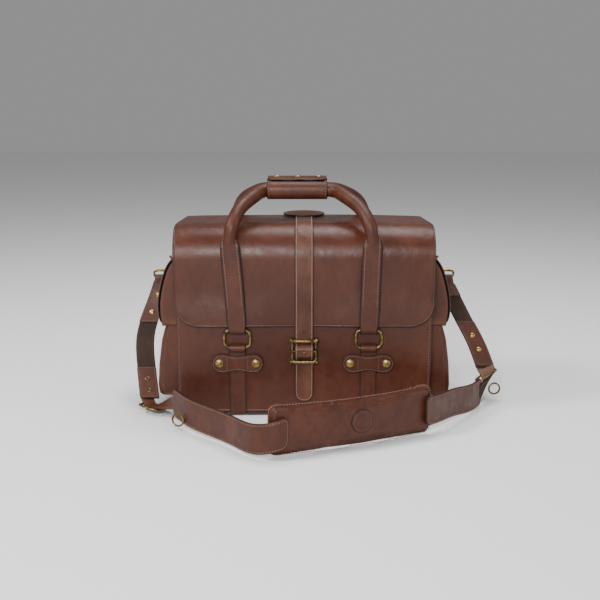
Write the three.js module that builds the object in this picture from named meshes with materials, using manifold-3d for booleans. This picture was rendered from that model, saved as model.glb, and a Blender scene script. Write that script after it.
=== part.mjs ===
// Leather briefcase with two rolled handles, a buckled flap, side pockets and a shoulder strap.
// Millimetres. X runs along the bag, Y from front to back, Z up. The origin is the middle of the base's underside.
import * as THREE from 'three';
import { mergeVertices } from 'three/addons/utils/BufferGeometryUtils.js';
import Module from 'manifold-3d';

const wasm = await Module();
wasm.setup();

// Driving dimensions
const bodyWidth = 420;
const bodyDepth = 190;
const bodyHeight = 318;
const flapWidth = 426;
const flapDrop = 165.5;
const shoulderRadius = 55;
const foldRadius = 45;
const panelLeather = 3.5;
const flapLeather = 2.8;
const strapLeather = 2.1;
const handleLeather = 3.4;
const handleStrapWidth = 32;
const handleTube = 11.2;
const handleTop = 368;
const handleShift = -9;
const ringShift = -2;
const ringSpread = 108;
const ringHalfWidth = 21.3;
const ringHalfHeight = 15.5;
const ringWire = 2.4;
const ringPivotHeight = 117;
const tabHeight = 32;
const baseStrapHalf = 13.5;
const foldHalf = 14.5;
const closureWidth = 31;
const buckleHeight = 112;
const pocketReach = 247;
const pocketDepth = 130;
const shoulderStrapWidth = 50;
const padLength = 284;
const padHeight = 85;
const gap = 0.3;

// Places worked out from them
const frontFace = -bodyDepth / 2;
const backFace = bodyDepth / 2;
const gussetFace = bodyWidth / 2 - 10.3;
const baseThick = 5;
const panelBottom = baseThick + gap;
const shoulderY = frontFace - 4 + shoulderRadius;
const shoulderZ = bodyHeight - shoulderRadius;
const flapOuter = frontFace - 4;
const flapBottom = bodyHeight - flapDrop;
const rearHingeY = backFace + 2;
const rearHingeZ = bodyHeight - foldRadius;
const foldY = rearHingeY - foldRadius;
const ringY = frontFace - 7.5;
const ringZ = ringPivotHeight + ringHalfHeight;
const ringTopZ = ringPivotHeight + 2 * ringHalfHeight;
const pocketFlapZ = 262;
const eyeX = 251;
const eyeY = 78;
const eyeZ = 209;
const eyeHalfHeight = 6;

const group = new THREE.Group();

function leather(color) {
  return new THREE.MeshStandardMaterial({ color, roughness: 0.45, metalness: 0 });
}

const chestnut = leather('#5e3729');
const strapBrown = leather('#6d4233');
const fleshBrown = leather('#3c2a22');
const lining = leather('#4a3128');
const brass = new THREE.MeshStandardMaterial({ color: '#a08250', roughness: 0.35, metalness: 1 });

// Adds one named piece to the bag
function piece(name, material, geometry) {
  const mesh = new THREE.Mesh(geometry, material);
  mesh.name = name;
  group.add(mesh);
  return mesh;
}

// Points on a circle's arc, angles in degrees
function arc(cx, cy, radius, from, to, steps) {
  const points = [];
  for (let i = 0; i <= steps; i++) {
    const angle = THREE.MathUtils.degToRad(from + ((to - from) * i) / steps);
    points.push([cx + radius * Math.cos(angle), cy + radius * Math.sin(angle)]);
  }
  return points;
}

// A closed outline of even thickness about an open line of points
function thickLine(points, thickness) {
  const left = [];
  const right = [];
  points.forEach(([x, y], i) => {
    const before = points[Math.max(i - 1, 0)];
    const after = points[Math.min(i + 1, points.length - 1)];
    const length = Math.hypot(after[0] - before[0], after[1] - before[1]);
    const nx = -(after[1] - before[1]) / length;
    const ny = (after[0] - before[0]) / length;
    left.push(new THREE.Vector2(x + (nx * thickness) / 2, y + (ny * thickness) / 2));
    right.push(new THREE.Vector2(x - (nx * thickness) / 2, y - (ny * thickness) / 2));
  });
  return new THREE.Shape([...left, ...right.reverse()]);
}

function outline(points) {
  return new THREE.Shape(points.map(([x, y]) => new THREE.Vector2(x, y)));
}

// A rectangle with rounded corners, between two opposite corners
function roundedOutline(x0, y0, x1, y1, radius) {
  return outline([
    ...arc(x1 - radius, y1 - radius, radius, 0, 90, 5),
    ...arc(x0 + radius, y1 - radius, radius, 90, 180, 5),
    ...arc(x0 + radius, y0 + radius, radius, 180, 270, 5),
    ...arc(x1 - radius, y0 + radius, radius, 270, 360, 5),
  ]);
}

const axisX = new THREE.Vector3(1, 0, 0);
const axisY = new THREE.Vector3(0, 1, 0);
const axisZ = new THREE.Vector3(0, 0, 1);

function extrude(shape, depth) {
  return new THREE.ExtrudeGeometry(shape, { depth, bevelEnabled: false, curveSegments: 6 });
}

// A (y, z) outline carried along X
function alongX(shape, x0, x1) {
  const geometry = extrude(shape, x1 - x0);
  geometry.applyMatrix4(new THREE.Matrix4().makeBasis(axisY, axisZ, axisX));
  return geometry.translate(x0, 0, 0);
}

// An (x, z) outline carried along Y
function alongY(shape, y0, y1) {
  const geometry = extrude(shape, y1 - y0);
  geometry.applyMatrix4(new THREE.Matrix4().makeBasis(axisX, axisZ, axisY.clone().negate()));
  return geometry.translate(0, y1, 0);
}

// An (x, y) outline carried along Z
function alongZ(shape, z0, z1) {
  return extrude(shape, z1 - z0).translate(0, 0, z0);
}

function block(x0, x1, y0, y1, z0, z1) {
  const geometry = new THREE.BoxGeometry(x1 - x0, y1 - y0, z1 - z0);
  return geometry.translate((x0 + x1) / 2, (y0 + y1) / 2, (z0 + z1) / 2);
}

function toSolid(geometry) {
  const bare = geometry.index ? geometry.toNonIndexed() : geometry.clone();
  bare.deleteAttribute('normal');
  bare.deleteAttribute('uv');
  const merged = mergeVertices(bare, 1e-4);
  const mesh = new wasm.Mesh({
    numProp: 3,
    vertProperties: new Float32Array(merged.attributes.position.array),
    triVerts: new Uint32Array(merged.index.array),
  });
  return new wasm.Manifold(mesh);
}

function toGeometry(solid) {
  const mesh = solid.getMesh();
  const geometry = new THREE.BufferGeometry();
  const places = new Float32Array((mesh.vertProperties.length / mesh.numProp) * 3);
  for (let i = 0; i < places.length / 3; i++) {
    for (let k = 0; k < 3; k++) {
      places[3 * i + k] = mesh.vertProperties[mesh.numProp * i + k];
    }
  }
  geometry.setAttribute('position', new THREE.BufferAttribute(places, 3));
  geometry.setIndex(new THREE.BufferAttribute(new Uint32Array(mesh.triVerts), 1));
  return geometry;
}

function cut(geometry, ...tools) {
  return toGeometry(tools.reduce((solid, tool) => solid.subtract(toSolid(tool)), toSolid(geometry)));
}

function join(geometry, ...others) {
  return toGeometry(others.reduce((solid, other) => solid.add(toSolid(other)), toSolid(geometry)));
}

function keepInside(geometry, tool) {
  return toGeometry(toSolid(geometry).intersect(toSolid(tool)));
}

// Mirrors a solid across the plane X = 0, with its faces kept outward
function mirrored(geometry) {
  const solid = toSolid(geometry).mirror([1, 0, 0]);
  return toGeometry(solid);
}

// Mirrors a solid from the front of the bag to its back
function atBack(geometry) {
  const solid = toSolid(geometry).mirror([0, 1, 0]);
  return toGeometry(solid);
}

// A rod between two points
function rod(from, to, radius, sides = 10) {
  const a = new THREE.Vector3(...from);
  const b = new THREE.Vector3(...to);
  const geometry = new THREE.CylinderGeometry(radius, radius, a.distanceTo(b), sides);
  const turn = new THREE.Quaternion().setFromUnitVectors(axisY, b.clone().sub(a).normalize());
  geometry.applyQuaternion(turn);
  return geometry.translate(...a.add(b).multiplyScalar(0.5).toArray());
}

// A wire ring bent to a rounded rectangle: a torus whose centre line is moved to a superellipse.
// across and up are the unit directions of its two half sizes.
function wireRing(centre, across, up, halfWidth, halfHeight, wire, squareness = 4) {
  const startRadius = 2 * wire;
  const geometry = new THREE.TorusGeometry(startRadius, wire, 8, 20);
  const place = geometry.attributes.position;
  const acrossVector = new THREE.Vector3(...across).normalize();
  const upVector = new THREE.Vector3(...up).normalize();
  const outVector = new THREE.Vector3().crossVectors(acrossVector, upVector);
  const soften = (value) => Math.sign(value) * Math.abs(value) ** (2 / squareness);
  for (let i = 0; i < place.count; i++) {
    const x = place.getX(i);
    const y = place.getY(i);
    const reach = Math.hypot(x, y);
    const centreX = halfWidth * soften(place.getX(i) / reach);
    const centreY = halfHeight * soften(place.getY(i) / reach);
    const offset = reach - startRadius;
    const point = new THREE.Vector3(...centre)
      .addScaledVector(acrossVector, centreX + (offset * x) / reach)
      .addScaledVector(upVector, centreY + (offset * y) / reach)
      .addScaledVector(outVector, place.getZ(i));
    place.setXYZ(i, point.x, point.y, point.z);
  }
  return geometry;
}

// A flat band carried along points. sides gives the direction of its width at each point.
function band(points, sides, width, thickness) {
  const steps = points.length - 1;
  const geometry = new THREE.BoxGeometry(1, 1, 1, 1, 1, steps);
  const place = geometry.attributes.position;
  const path = points.map((point) => new THREE.Vector3(...point));
  for (let i = 0; i < place.count; i++) {
    const step = Math.round((place.getZ(i) + 0.5) * steps);
    const along = path[Math.min(step + 1, steps)].clone().sub(path[Math.max(step - 1, 0)]).normalize();
    const side = new THREE.Vector3(...sides[step]);
    side.addScaledVector(along, -side.dot(along)).normalize();
    const normal = new THREE.Vector3().crossVectors(along, side);
    const point = path[step].clone()
      .addScaledVector(side, place.getX(i) * width)
      .addScaledVector(normal, place.getY(i) * thickness);
    place.setXYZ(i, point.x, point.y, point.z);
  }
  return geometry;
}

// The same places along a smooth curve through hand-set points
function smooth(points, steps) {
  const curve = new THREE.CatmullRomCurve3(points.map((point) => new THREE.Vector3(...point)));
  return curve.getPoints(steps).map((point) => point.toArray());
}

// A domed rivet cap standing on a face whose outward direction is -Y
function rivetCap(x, y, z, radius, height) {
  const rim = height * 0.35;
  const profile = [
    new THREE.Vector2(0, 0),
    new THREE.Vector2(radius, 0),
    new THREE.Vector2(radius, rim),
    new THREE.Vector2(radius * 0.75, height * 0.8),
    new THREE.Vector2(radius * 0.4, height),
    new THREE.Vector2(0, height),
  ];
  const geometry = new THREE.LatheGeometry(profile, 12);
  geometry.rotateX(Math.PI);
  return geometry.translate(x, y, z);
}

// Left then right: -1 and 1
const sidesOfBag = [['left', -1], ['right', 1]];

// The base board with two grooves for the straps that run under it
function addBase() {
  const board = block(-bodyWidth / 2, bodyWidth / 2, frontFace, backFace, 0, baseThick);
  const grooves = sidesOfBag.map(([, side]) => {
    const x = ringShift + side * ringSpread;
    const room = baseStrapHalf + 0.8;
    return block(x - room, x + room, frontFace - 5, backFace + 5, -1, strapLeather + 2 * gap);
  });
  piece('base_panel', chestnut, cut(board, ...grooves));
}

function addPanels() {
  const frontShape = roundedOutline(-bodyWidth / 2, panelBottom, bodyWidth / 2, shoulderZ - 4, 9);
  piece('front_panel', chestnut, alongY(frontShape, frontFace, frontFace + panelLeather));
  const backShape = roundedOutline(-bodyWidth / 2, panelBottom, bodyWidth / 2, rearHingeZ - 5, 9);
  piece('back_panel', chestnut, alongY(backShape, backFace - panelLeather, backFace));
}

// The end walls follow the flap's shoulder a little inside it
function addGussets() {
  const reach = backFace - panelLeather - gap;
  const inset = shoulderRadius - 7;
  const shape = outline([
    [-reach, panelBottom],
    [reach, panelBottom],
    [reach, rearHingeZ - 8],
    ...arc(foldY, rearHingeZ, foldRadius - 8, 8, 90, 5),
    ...arc(shoulderY, shoulderZ, inset, 90, 165, 5),
    [-reach, shoulderZ - 8],
  ]);
  sidesOfBag.forEach(([name, side]) => {
    const inner = side * (gussetFace - panelLeather);
    const outer = side * gussetFace;
    piece(`${name}_gusset`, chestnut, alongX(shape, Math.min(inner, outer), Math.max(inner, outer)));
  });
}

function addDivider() {
  const reach = gussetFace - panelLeather - gap;
  piece('inner_divider', lining, block(-reach, reach, 14, 16, panelBottom, 236));
}

// A side pocket: a leather box that narrows towards its mouth, open at the top and against the end wall
function addPockets() {
  const half = pocketDepth / 2;
  const wall = 2.6;
  const floor = 26;
  const start = gussetFace + gap;
  const line = [[pocketReach, 42], [pocketReach - 8, 120], [pocketReach - 18, 158], [pocketReach - 35, 216]];
  const outer = outline([[start, floor], [pocketReach - 6, floor], ...line, [start, 216]]);
  const inner = outline([
    [start - 10, floor + wall],
    [pocketReach - 6 - wall, floor + wall],
    ...line.map(([x, z]) => [x - wall, z]),
    [pocketReach - 35 - wall, 230],
    [start - 10, 230],
  ]);
  const right = cut(alongY(outer, -half, half), alongY(inner, -half + wall, half - wall));
  piece('left_pocket', chestnut, mirrored(right));
  piece('right_pocket', chestnut, right);
}

// The flap over each pocket stands out from the end wall and curls back in at its lower edge
function addPocketFlaps() {
  const half = pocketDepth / 2 + 3;
  const line = [
    [gussetFace + 1.9, pocketFlapZ - 1],
    [pocketReach - 31, pocketFlapZ - 2],
    [pocketReach - 22, pocketFlapZ - 12],
    [pocketReach - 13, pocketFlapZ - 34],
    [pocketReach - 7, pocketFlapZ - 62],
    [pocketReach - 5, pocketFlapZ - 88],
    [pocketReach - 8, pocketFlapZ - 116],
  ];
  const right = alongY(thickLine(line, 2.6), -half, half);
  piece('left_pocket_flap', chestnut, mirrored(right));
  piece('right_pocket_flap', chestnut, right);
}

// The strap under the bag rises on both faces and folds over the lower bar of each handle ring
function baseStrap(x) {
  const face = frontFace - gap - strapLeather / 2;
  const loop = ringWire + 1.5 + strapLeather / 2;
  const under = gap + strapLeather / 2;
  const frontRun = [
    ...arc(ringY, ringPivotHeight, loop, 250, 20, 8),
    [face, ringPivotHeight - 9],
    [face, under],
  ];
  const backRun = frontRun.map(([y, z]) => [-y, z]).reverse();
  return alongX(thickLine([...frontRun, ...backRun], strapLeather), x - baseStrapHalf, x + baseStrapHalf);
}

// A bow-tie tab: two round lobes joined by a narrower middle
function bowTab(x) {
  const half = tabHeight / 2;
  const lobe = 43;
  const middle = ringPivotHeight - 27;
  const shape = outline([
    ...arc(x + lobe - half, middle, half, -70, 70, 6),
    [x + 15, middle + half - 3],
    [x, middle + half - 6],
    [x - 15, middle + half - 3],
    ...arc(x - lobe + half, middle, half, 110, 250, 6),
    [x - 15, middle - half + 2],
    [x + 15, middle - half + 2],
  ]);
  const back = frontFace - 2 * gap - strapLeather;
  return alongY(shape, back - 2.2, back);
}

function addRingTabs() {
  const capY = frontFace - 2 * gap - strapLeather - 2.2 - gap;
  sidesOfBag.forEach(([name, side]) => {
    const x = ringShift + side * ringSpread;
    piece(`${name}_base_strap`, strapBrown, baseStrap(x));
    piece(`front_tab_${name}`, strapBrown, bowTab(x));
    piece(`back_tab_${name}`, strapBrown, atBack(bowTab(x)));
    [['outer', side * 30], ['inner', -side * 30]].forEach(([place, offset]) => {
      const cap = rivetCap(x + offset, capY, ringPivotHeight - 26.5, 6.5, 3);
      piece(`front_rivet_${name}_${place}`, brass, cap);
      piece(`back_rivet_${name}_${place}`, brass, atBack(cap));
    });
  });
}

// One rolled handle: a round tube that flattens into two straps, each folded round the top of its ring
function handleSolid() {
  const strapY = ringY - ringWire - 1.1 - handleLeather / 2;
  const strapTop = 292;
  const topX = 115;
  const route = [
    [-1, strapY, strapTop - 8],
    [-1, strapY + 0.5, strapTop + 8],
    [-0.95, strapY + 12, strapTop + 33],
    [-0.82, strapY + 44, strapTop + 56],
    [-0.64, strapY + 75, strapTop + 69],
    [-0.5, -handleTube - 1.2, handleTop - 0.6],
    [-0.38, -handleTube - 0.5, handleTop],
    [-0.2, -handleTube - 0.5, handleTop],
    [0, -handleTube - 0.5, handleTop],
  ];
  const half = route.map(([share, y, z]) => [share * topX, y, z]);
  const whole = [...half, ...half.slice(0, -1).reverse().map(([x, y, z]) => [-x, y, z])];
  const placed = whole.map(([x, y, z]) => {
    const rise = Math.min(Math.max((z - strapTop) / (handleTop - strapTop), 0), 1);
    return new THREE.Vector3(x + ringShift - 3 + (handleShift - ringShift + 3) * rise, y, z);
  });
  const circle = new THREE.Shape(arc(0, 0, handleTube, 0, 330, 11).map(([x, y]) => new THREE.Vector2(x, y)));
  const tube = new THREE.ExtrudeGeometry(circle, {
    steps: 40,
    bevelEnabled: false,
    extrudePath: new THREE.CatmullRomCurve3(placed),
  });
  const parts = sidesOfBag.map(([, side]) => {
    const low = ringShift + side * ringSpread;
    const high = ringShift - 3 + side * topX;
    const loop = ringWire + 1.1 + handleLeather / 2;
    const line = [...arc(ringY, ringTopZ, loop, 380, 180, 8), [strapY, ringTopZ + 5]];
    const fold = alongX(thickLine(line, handleLeather), low - foldHalf, low + foldHalf);
    const wide = handleStrapWidth / 2;
    const face = outline([
      [low - foldHalf, ringTopZ + 3],
      [low + foldHalf, ringTopZ + 3],
      [low + wide, ringTopZ + 14],
      [high + wide, strapTop],
      [high + handleTube - 2, strapTop + 8],
      [high - handleTube + 2, strapTop + 8],
      [high - wide, strapTop],
      [low - wide, ringTopZ + 14],
    ]);
    return join(fold, alongY(face, strapY - handleLeather / 2, strapY + handleLeather / 2));
  });
  return join(tube, ...parts);
}

function addHandles() {
  const handle = handleSolid();
  piece('front_handle', strapBrown, handle);
  piece('rear_handle', strapBrown, atBack(handle));
  sidesOfBag.forEach(([name, side]) => {
    const x = ringShift + side * ringSpread;
    const ring = wireRing([x, ringY, ringZ], [1, 0, 0], [0, 0, 1], ringHalfWidth, ringHalfHeight, ringWire, 5);
    piece(`front_ring_${name}`, brass, ring);
    piece(`rear_ring_${name}`, brass, atBack(ring));
  });
}

// The grip wrap holds both tubes: a rear half, and a front half whose lip snaps down over the top
function addGripWrap() {
  const wrapLeather = 3.2;
  const x0 = handleShift - 53;
  const x1 = handleShift + 48;
  const radius = handleTube + 1.1 + wrapLeather / 2;
  const tubeY = handleTube + 0.5;
  const rear = [
    [gap, handleTop - radius],
    ...arc(tubeY, handleTop, radius, -90, 90, 8),
    [3.5, handleTop + radius],
  ];
  piece('grip_wrap_base', strapBrown, alongX(thickLine(rear, wrapLeather), x0, x1));
  const front = [
    [-gap, handleTop - radius],
    ...arc(-tubeY, handleTop, radius, 270, 90, 8),
    [-4, handleTop + radius + 0.2],
    [1, handleTop + radius + wrapLeather + 0.6],
    [15, handleTop + radius + wrapLeather + 0.6],
  ];
  piece('grip_wrap_cover', strapBrown, alongX(thickLine(front, wrapLeather), x0, x1));
  const lipTop = handleTop + radius + 1.5 * wrapLeather + 0.6 + gap;
  ['left', 'middle', 'right'].forEach((name, i) => {
    const cap = rivetCap(0, 0, 0, 6.2, 2.4).rotateX(-Math.PI / 2);
    piece(`snap_cap_${name}`, brass, cap.translate(handleShift - 37 + 35 * i, 6.5, lipTop));
  });
}

// The flap's line in (y, z): round at the rear fold, flat on top, round at the shoulder, straight down the front
function addFlap() {
  const half = flapLeather / 2;
  const middle = shoulderRadius - half;
  const shareOfShoulder = 135;
  const topLine = [
    [rearHingeY, rearHingeZ],
    ...arc(foldY, rearHingeZ, foldRadius - half, 12, 90, 6),
    [shoulderY, bodyHeight - half],
    ...arc(shoulderY, shoulderZ, middle, 98, shareOfShoulder - 0.4, 4),
  ];
  const frontLine = [
    ...arc(shoulderY, shoulderZ, middle, shareOfShoulder + 0.4, 180, 5),
    [flapOuter + half, flapBottom],
  ];
  const reach = flapWidth / 2;
  piece('flap_top', chestnut, alongX(thickLine(topLine, flapLeather), -reach, reach));
  const front = alongX(thickLine(frontLine, flapLeather), -reach, reach);
  const corners = alongY(roundedOutline(-reach - 1, flapBottom - 1, reach + 1, 420, 40), flapOuter - 5, 0);
  piece('flap_front', chestnut, keepInside(front, corners));
  const badge = new THREE.CylinderGeometry(36, 36, 2.2, 28).rotateX(Math.PI / 2);
  piece('flap_patch', strapBrown, badge.translate(0, 44, bodyHeight + gap + 1.1));
}

// The closure strap is sewn down the flap, then threads the buckle: behind the roller, over the middle bar
// and behind the lower bar
function addClosureStrap() {
  const sewnY = flapOuter - gap - strapLeather / 2;
  const sewn = [
    ...arc(shoulderY, shoulderZ, shoulderRadius + gap + strapLeather / 2, 137, 180, 4),
    [sewnY, flapBottom + 0.5],
  ];
  const half = closureWidth / 2;
  piece('closure_strap', strapBrown, alongX(thickLine(sewn, strapLeather), -half, half));
  const bar = buckleHeight;
  const line = [
    [sewnY, flapBottom],
    [sewnY + 0.7, bar + 19],
    [sewnY - 0.2, bar + 13.5],
    [sewnY - 9.6, bar + 5.5],
    [sewnY - 9.9, bar],
    [sewnY - 9.6, bar - 5.5],
    [sewnY - 0.2, bar - 13.5],
    [sewnY + 0.7, bar - 20],
    [sewnY + 2.1, bar - 37],
    [sewnY + 2.2, 25],
  ];
  const whole = alongX(thickLine(line, strapLeather), -half, half);
  const tip = alongY(roundedOutline(-half, 25, half, flapBottom + 20, 14), -130, -80);
  const hole = rod([0, -118, bar], [0, -98, bar], 2.2);
  piece('closure_strap_tail', strapBrown, cut(keepInside(whole, tip), hole));
}

// The centre-bar buckle, with a fixed peg on its middle bar and a loose roller on its top bar
function addBuckle() {
  const y0 = -106;
  const y1 = y0 + 3.2;
  const bar = buckleHeight;
  const frame = roundedOutline(-22.5, bar - 20.5, 22.5, bar + 20.5, 4);
  const windows = [[bar + 1.5, bar + 15.5], [bar - 15.5, bar - 1.5]];
  windows.forEach(([z0, z1]) => {
    frame.holes.push(new THREE.Path([[-18, z0], [-18, z1], [18, z1], [18, z0]].map((p) => new THREE.Vector2(...p))));
  });
  const slots = block(-17.2, 17.2, y0 - 1, y1 + 1, bar + 18.5, bar + 25);
  const peg = rod([0, y0 + 1, bar], [0, y0 - 8, bar], 1.5, 8);
  piece('closure_buckle', brass, join(cut(alongY(frame, y0, y1), slots), peg));
  const rollerZ = bar + 17;
  const ring = outline(arc((y0 + y1) / 2, rollerZ, 3.4, 0, 330, 11));
  ring.holes.push(new THREE.Path(arc((y0 + y1) / 2, rollerZ, 2.5, 0, 330, 11).map((p) => new THREE.Vector2(...p))));
  piece('closure_roller', brass, alongX(ring, -16.5, 16.5));
  const chapeLine = [
    [frontFace - gap - 1, bar - 46],
    [frontFace - gap - 1, bar - 13],
    ...arc((y0 + y1) / 2, bar, 3.3, -40, 220, 9),
  ];
  const chape = alongX(thickLine(chapeLine, 1.6), -14.5, 14.5);
  piece('closure_chape', strapBrown, cut(chape, rod([0, -118, bar], [0, y0 + 0.5, bar], 2.2)));
}

// The ring on each end wall, and the snap hook whose eye holds the shoulder strap
function addHookHardware() {
  const ringBar = [gussetFace + 5.2, eyeY, 246];
  const ringDrop = new THREE.Vector3(0.5, 0, -0.87).normalize();
  const ringCentre = new THREE.Vector3(...ringBar).addScaledVector(ringDrop, 9);
  const farBar = new THREE.Vector3(...ringBar).addScaledVector(ringDrop, 18);
  const eye = new THREE.Vector3(eyeX, eyeY, eyeZ);
  const reach = eye.clone().sub(farBar).normalize();
  const hookCentre = farBar.clone().addScaledVector(reach, 2.2);
  const sideRing = wireRing(ringCentre.toArray(), [0, 1, 0], ringDrop.toArray(), 11, 9, 2);
  const hookLoop = wireRing(hookCentre.toArray(), reach.toArray(), [-reach.z, 0, reach.x], 7.5, 7.5, 2, 2);
  const neck = hookCentre.clone().addScaledVector(reach, 7);
  const shank = rod(neck.toArray(), eye.clone().addScaledVector(reach, -13).toArray(), 3.2);
  const eyeRing = wireRing(eye.toArray(), [1, 0, 0], [0, 0, 1], 16, eyeHalfHeight, 2);
  const hook = join(hookLoop, shank, eyeRing);
  const leverFoot = neck.clone().addScaledVector(reach, 7);
  const lever = rod(
    [leverFoot.x, eyeY, leverFoot.z + 4.8],
    [leverFoot.x + 12, eyeY, leverFoot.z + 19.6],
    1.8,
    8,
  );
  const chape = alongY(
    thickLine(
      [
        [gussetFace + gap + 0.8, 272],
        [gussetFace + gap + 0.8, 252],
        ...arc(ringBar[0], ringBar[2], 3.9, 130, -90, 7),
      ],
      1.6,
    ),
    eyeY - 6,
    eyeY + 6,
  );
  piece('left_ring_chape', strapBrown, mirrored(chape));
  piece('right_ring_chape', strapBrown, chape);
  piece('left_side_ring', brass, mirrored(sideRing));
  piece('right_side_ring', brass, sideRing);
  piece('left_snap_hook', brass, mirrored(hook));
  piece('right_snap_hook', brass, hook);
  piece('left_hook_lever', brass, mirrored(lever));
  piece('right_hook_lever', brass, lever);
}

// The narrow leather that hangs from each snap hook down to its buckle, then the buckle, the wide strap on its edge
function addShoulderStrap() {
  const legTop = eyeZ - eyeHalfHeight - 5.5;
  const sideways = [1, 0, 0];
  const leftLeg = smooth(
    [
      [-eyeX, eyeY, legTop], [-259, 74, 173], [-270, 60, 143], [-278, 35, 113],
      [-272, -20, 66], [-265, -50, 36], [-261, -66, 20],
    ],
    16,
  );
  const rightLeg = smooth(
    [[eyeX + 2, eyeY, legTop - 6], [264, 72, 170], [289, 50, 121], [303, 34, 94], [315, 14, 62]],
    12,
  );
  piece('left_leg_strap', fleshBrown, band(leftLeg, leftLeg.map(() => sideways), 32, 3.2));
  piece('right_leg_strap', fleshBrown, band(rightLeg, rightLeg.map(() => sideways), 32, 3.2));
  const leftBuckle = wireRing([-254, -83, 11], [0.8, -0.55, -0.1], [0.66, 0.95, -0.15], 20, 15, 2.4);
  const rightBuckle = wireRing([318, 0, 43], [0.8, 0.2, 0.5], [-0.15, 0.9, -0.12], 18.3, 13.1, 2.4);
  piece('left_strap_buckle', brass, leftBuckle);
  piece('right_strap_buckle', brass, rightBuckle);
  const upright = [0, 0, 1];
  const low = shoulderStrapWidth / 2;
  const leftWide = smooth(
    [
      [-213, -138, low + 12],
      [-187, -180, low + 8],
      [-151, -219, low + 5],
      [-108, -268, low + 4],
      [-62, -315.5, low + 7],
      [-28, -314, low + 16],
    ],
    16,
  );
  const rightWide = smooth(
    [
      [191, -211, low + 16], [215, -178, low + 13], [245, -133, low + 9],
      [281, -82, low + 2], [303, -40, low + 2],
    ],
    12,
  );
  piece('left_wide_strap', strapBrown, band(leftWide, leftWide.map(() => upright), shoulderStrapWidth, 3.4));
  piece('right_wide_strap', strapBrown, band(rightWide, rightWide.map(() => upright), shoulderStrapWidth, 3.4));
}

// The shoulder pad stands on its long edge in front of the bag, bowed a little
function addPad() {
  const line = [];
  const from = new THREE.Vector2(-58, -307);
  const to = new THREE.Vector2(199, -187);
  const run = to.clone().sub(from).normalize();
  const bow = new THREE.Vector2(run.y, -run.x);
  for (let i = 0; i <= 8; i++) {
    const share = i / 8;
    const out = 14 * Math.sin(Math.PI * share);
    const length = share * padLength;
    line.push([from.x + run.x * length + bow.x * out, from.y + run.y * length + bow.y * out]);
  }
  piece('shoulder_pad', strapBrown, alongZ(thickLine(line, 11), 0, padHeight));
}

// Spare rings on the strap ends
function addAccessoryRings() {
  const left = wireRing([-202, -176, 17], [0.95, -0.3, 0], [0, 0, 1], 9.5, 9.5, 1.6, 2);
  const right = wireRing([332, -8, 21], [1, 0.1, 0], [0, 0, 1], 9.5, 9.5, 1.6, 2);
  piece('left_accessory_ring', brass, left);
  piece('right_accessory_ring', brass, right);
}

addBase();
addPanels();
addGussets();
addDivider();
addPockets();
addPocketFlaps();
addRingTabs();
addHandles();
addGripWrap();
addFlap();
addClosureStrap();
addBuckle();
addHookHardware();
addShoulderStrap();
addPad();
addAccessoryRings();

export default group;
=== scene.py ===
import math
import bpy
import numpy as np
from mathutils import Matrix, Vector
from mathutils.bvhtree import BVHTree


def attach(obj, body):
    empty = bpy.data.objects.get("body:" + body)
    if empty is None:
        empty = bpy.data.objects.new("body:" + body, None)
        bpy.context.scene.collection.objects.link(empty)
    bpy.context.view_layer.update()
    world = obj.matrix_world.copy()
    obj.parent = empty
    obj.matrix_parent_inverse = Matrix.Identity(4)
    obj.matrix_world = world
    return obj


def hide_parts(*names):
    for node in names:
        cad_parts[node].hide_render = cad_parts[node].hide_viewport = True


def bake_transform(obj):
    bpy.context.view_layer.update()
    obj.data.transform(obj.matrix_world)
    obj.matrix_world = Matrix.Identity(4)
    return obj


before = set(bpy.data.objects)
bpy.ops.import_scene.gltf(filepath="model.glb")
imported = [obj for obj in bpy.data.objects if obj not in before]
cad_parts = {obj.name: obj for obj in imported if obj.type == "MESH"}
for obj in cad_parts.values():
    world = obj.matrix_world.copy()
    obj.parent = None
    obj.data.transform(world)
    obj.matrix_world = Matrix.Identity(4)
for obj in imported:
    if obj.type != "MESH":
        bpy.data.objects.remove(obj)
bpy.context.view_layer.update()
print("frame loaded")


# Links two node sockets
def wire(tree, start, end):
    tree.links.new(start, end)


# A noise texture reading the object's own coordinates, with its size given as repeats per metre
def noise(tree, scale, detail=3.0, rough=0.55, stretch=None):
    place = tree.nodes.new("ShaderNodeTexCoord").outputs["Object"]
    if stretch is not None:
        turn = tree.nodes.new("ShaderNodeMapping")
        turn.inputs["Scale"].default_value = stretch
        wire(tree, place, turn.inputs["Vector"])
        place = turn.outputs["Vector"]
    node = tree.nodes.new("ShaderNodeTexNoise")
    node.inputs["Scale"].default_value = scale
    node.inputs["Detail"].default_value = detail
    node.inputs["Roughness"].default_value = rough
    wire(tree, place, node.inputs["Vector"])
    return node.outputs["Fac"]


# Changes a value from one range to another, with a smooth step if asked
def remap(tree, value, low, high, newLow, newHigh, kind="LINEAR"):
    node = tree.nodes.new("ShaderNodeMapRange")
    node.interpolation_type = kind
    for socket, number in zip(("From Min", "From Max", "To Min", "To Max"), (low, high, newLow, newHigh)):
        node.inputs[socket].default_value = number
    wire(tree, value, node.inputs["Value"])
    return node.outputs["Result"]


# Mixes two colours by a share; either may be a colour or a socket
def mixColour(tree, share, first, second, kind="MIX"):
    node = tree.nodes.new("ShaderNodeMix")
    node.data_type = "RGBA"
    node.blend_type = kind
    for socket, value in ((node.inputs[6], first), (node.inputs[7], second)):
        if isinstance(value, tuple):
            socket.default_value = (*value, 1)
        else:
            wire(tree, value, socket)
    if isinstance(share, float):
        node.inputs[0].default_value = share
    else:
        wire(tree, share, node.inputs[0])
    return node.outputs[2]


def sumOf(tree, kind, first, second):
    node = tree.nodes.new("ShaderNodeMath")
    node.operation = kind
    for socket, value in zip(node.inputs, (first, second)):
        if isinstance(value, (int, float)):
            socket.default_value = value
        else:
            wire(tree, value, socket)
    return node.outputs[0]


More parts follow.
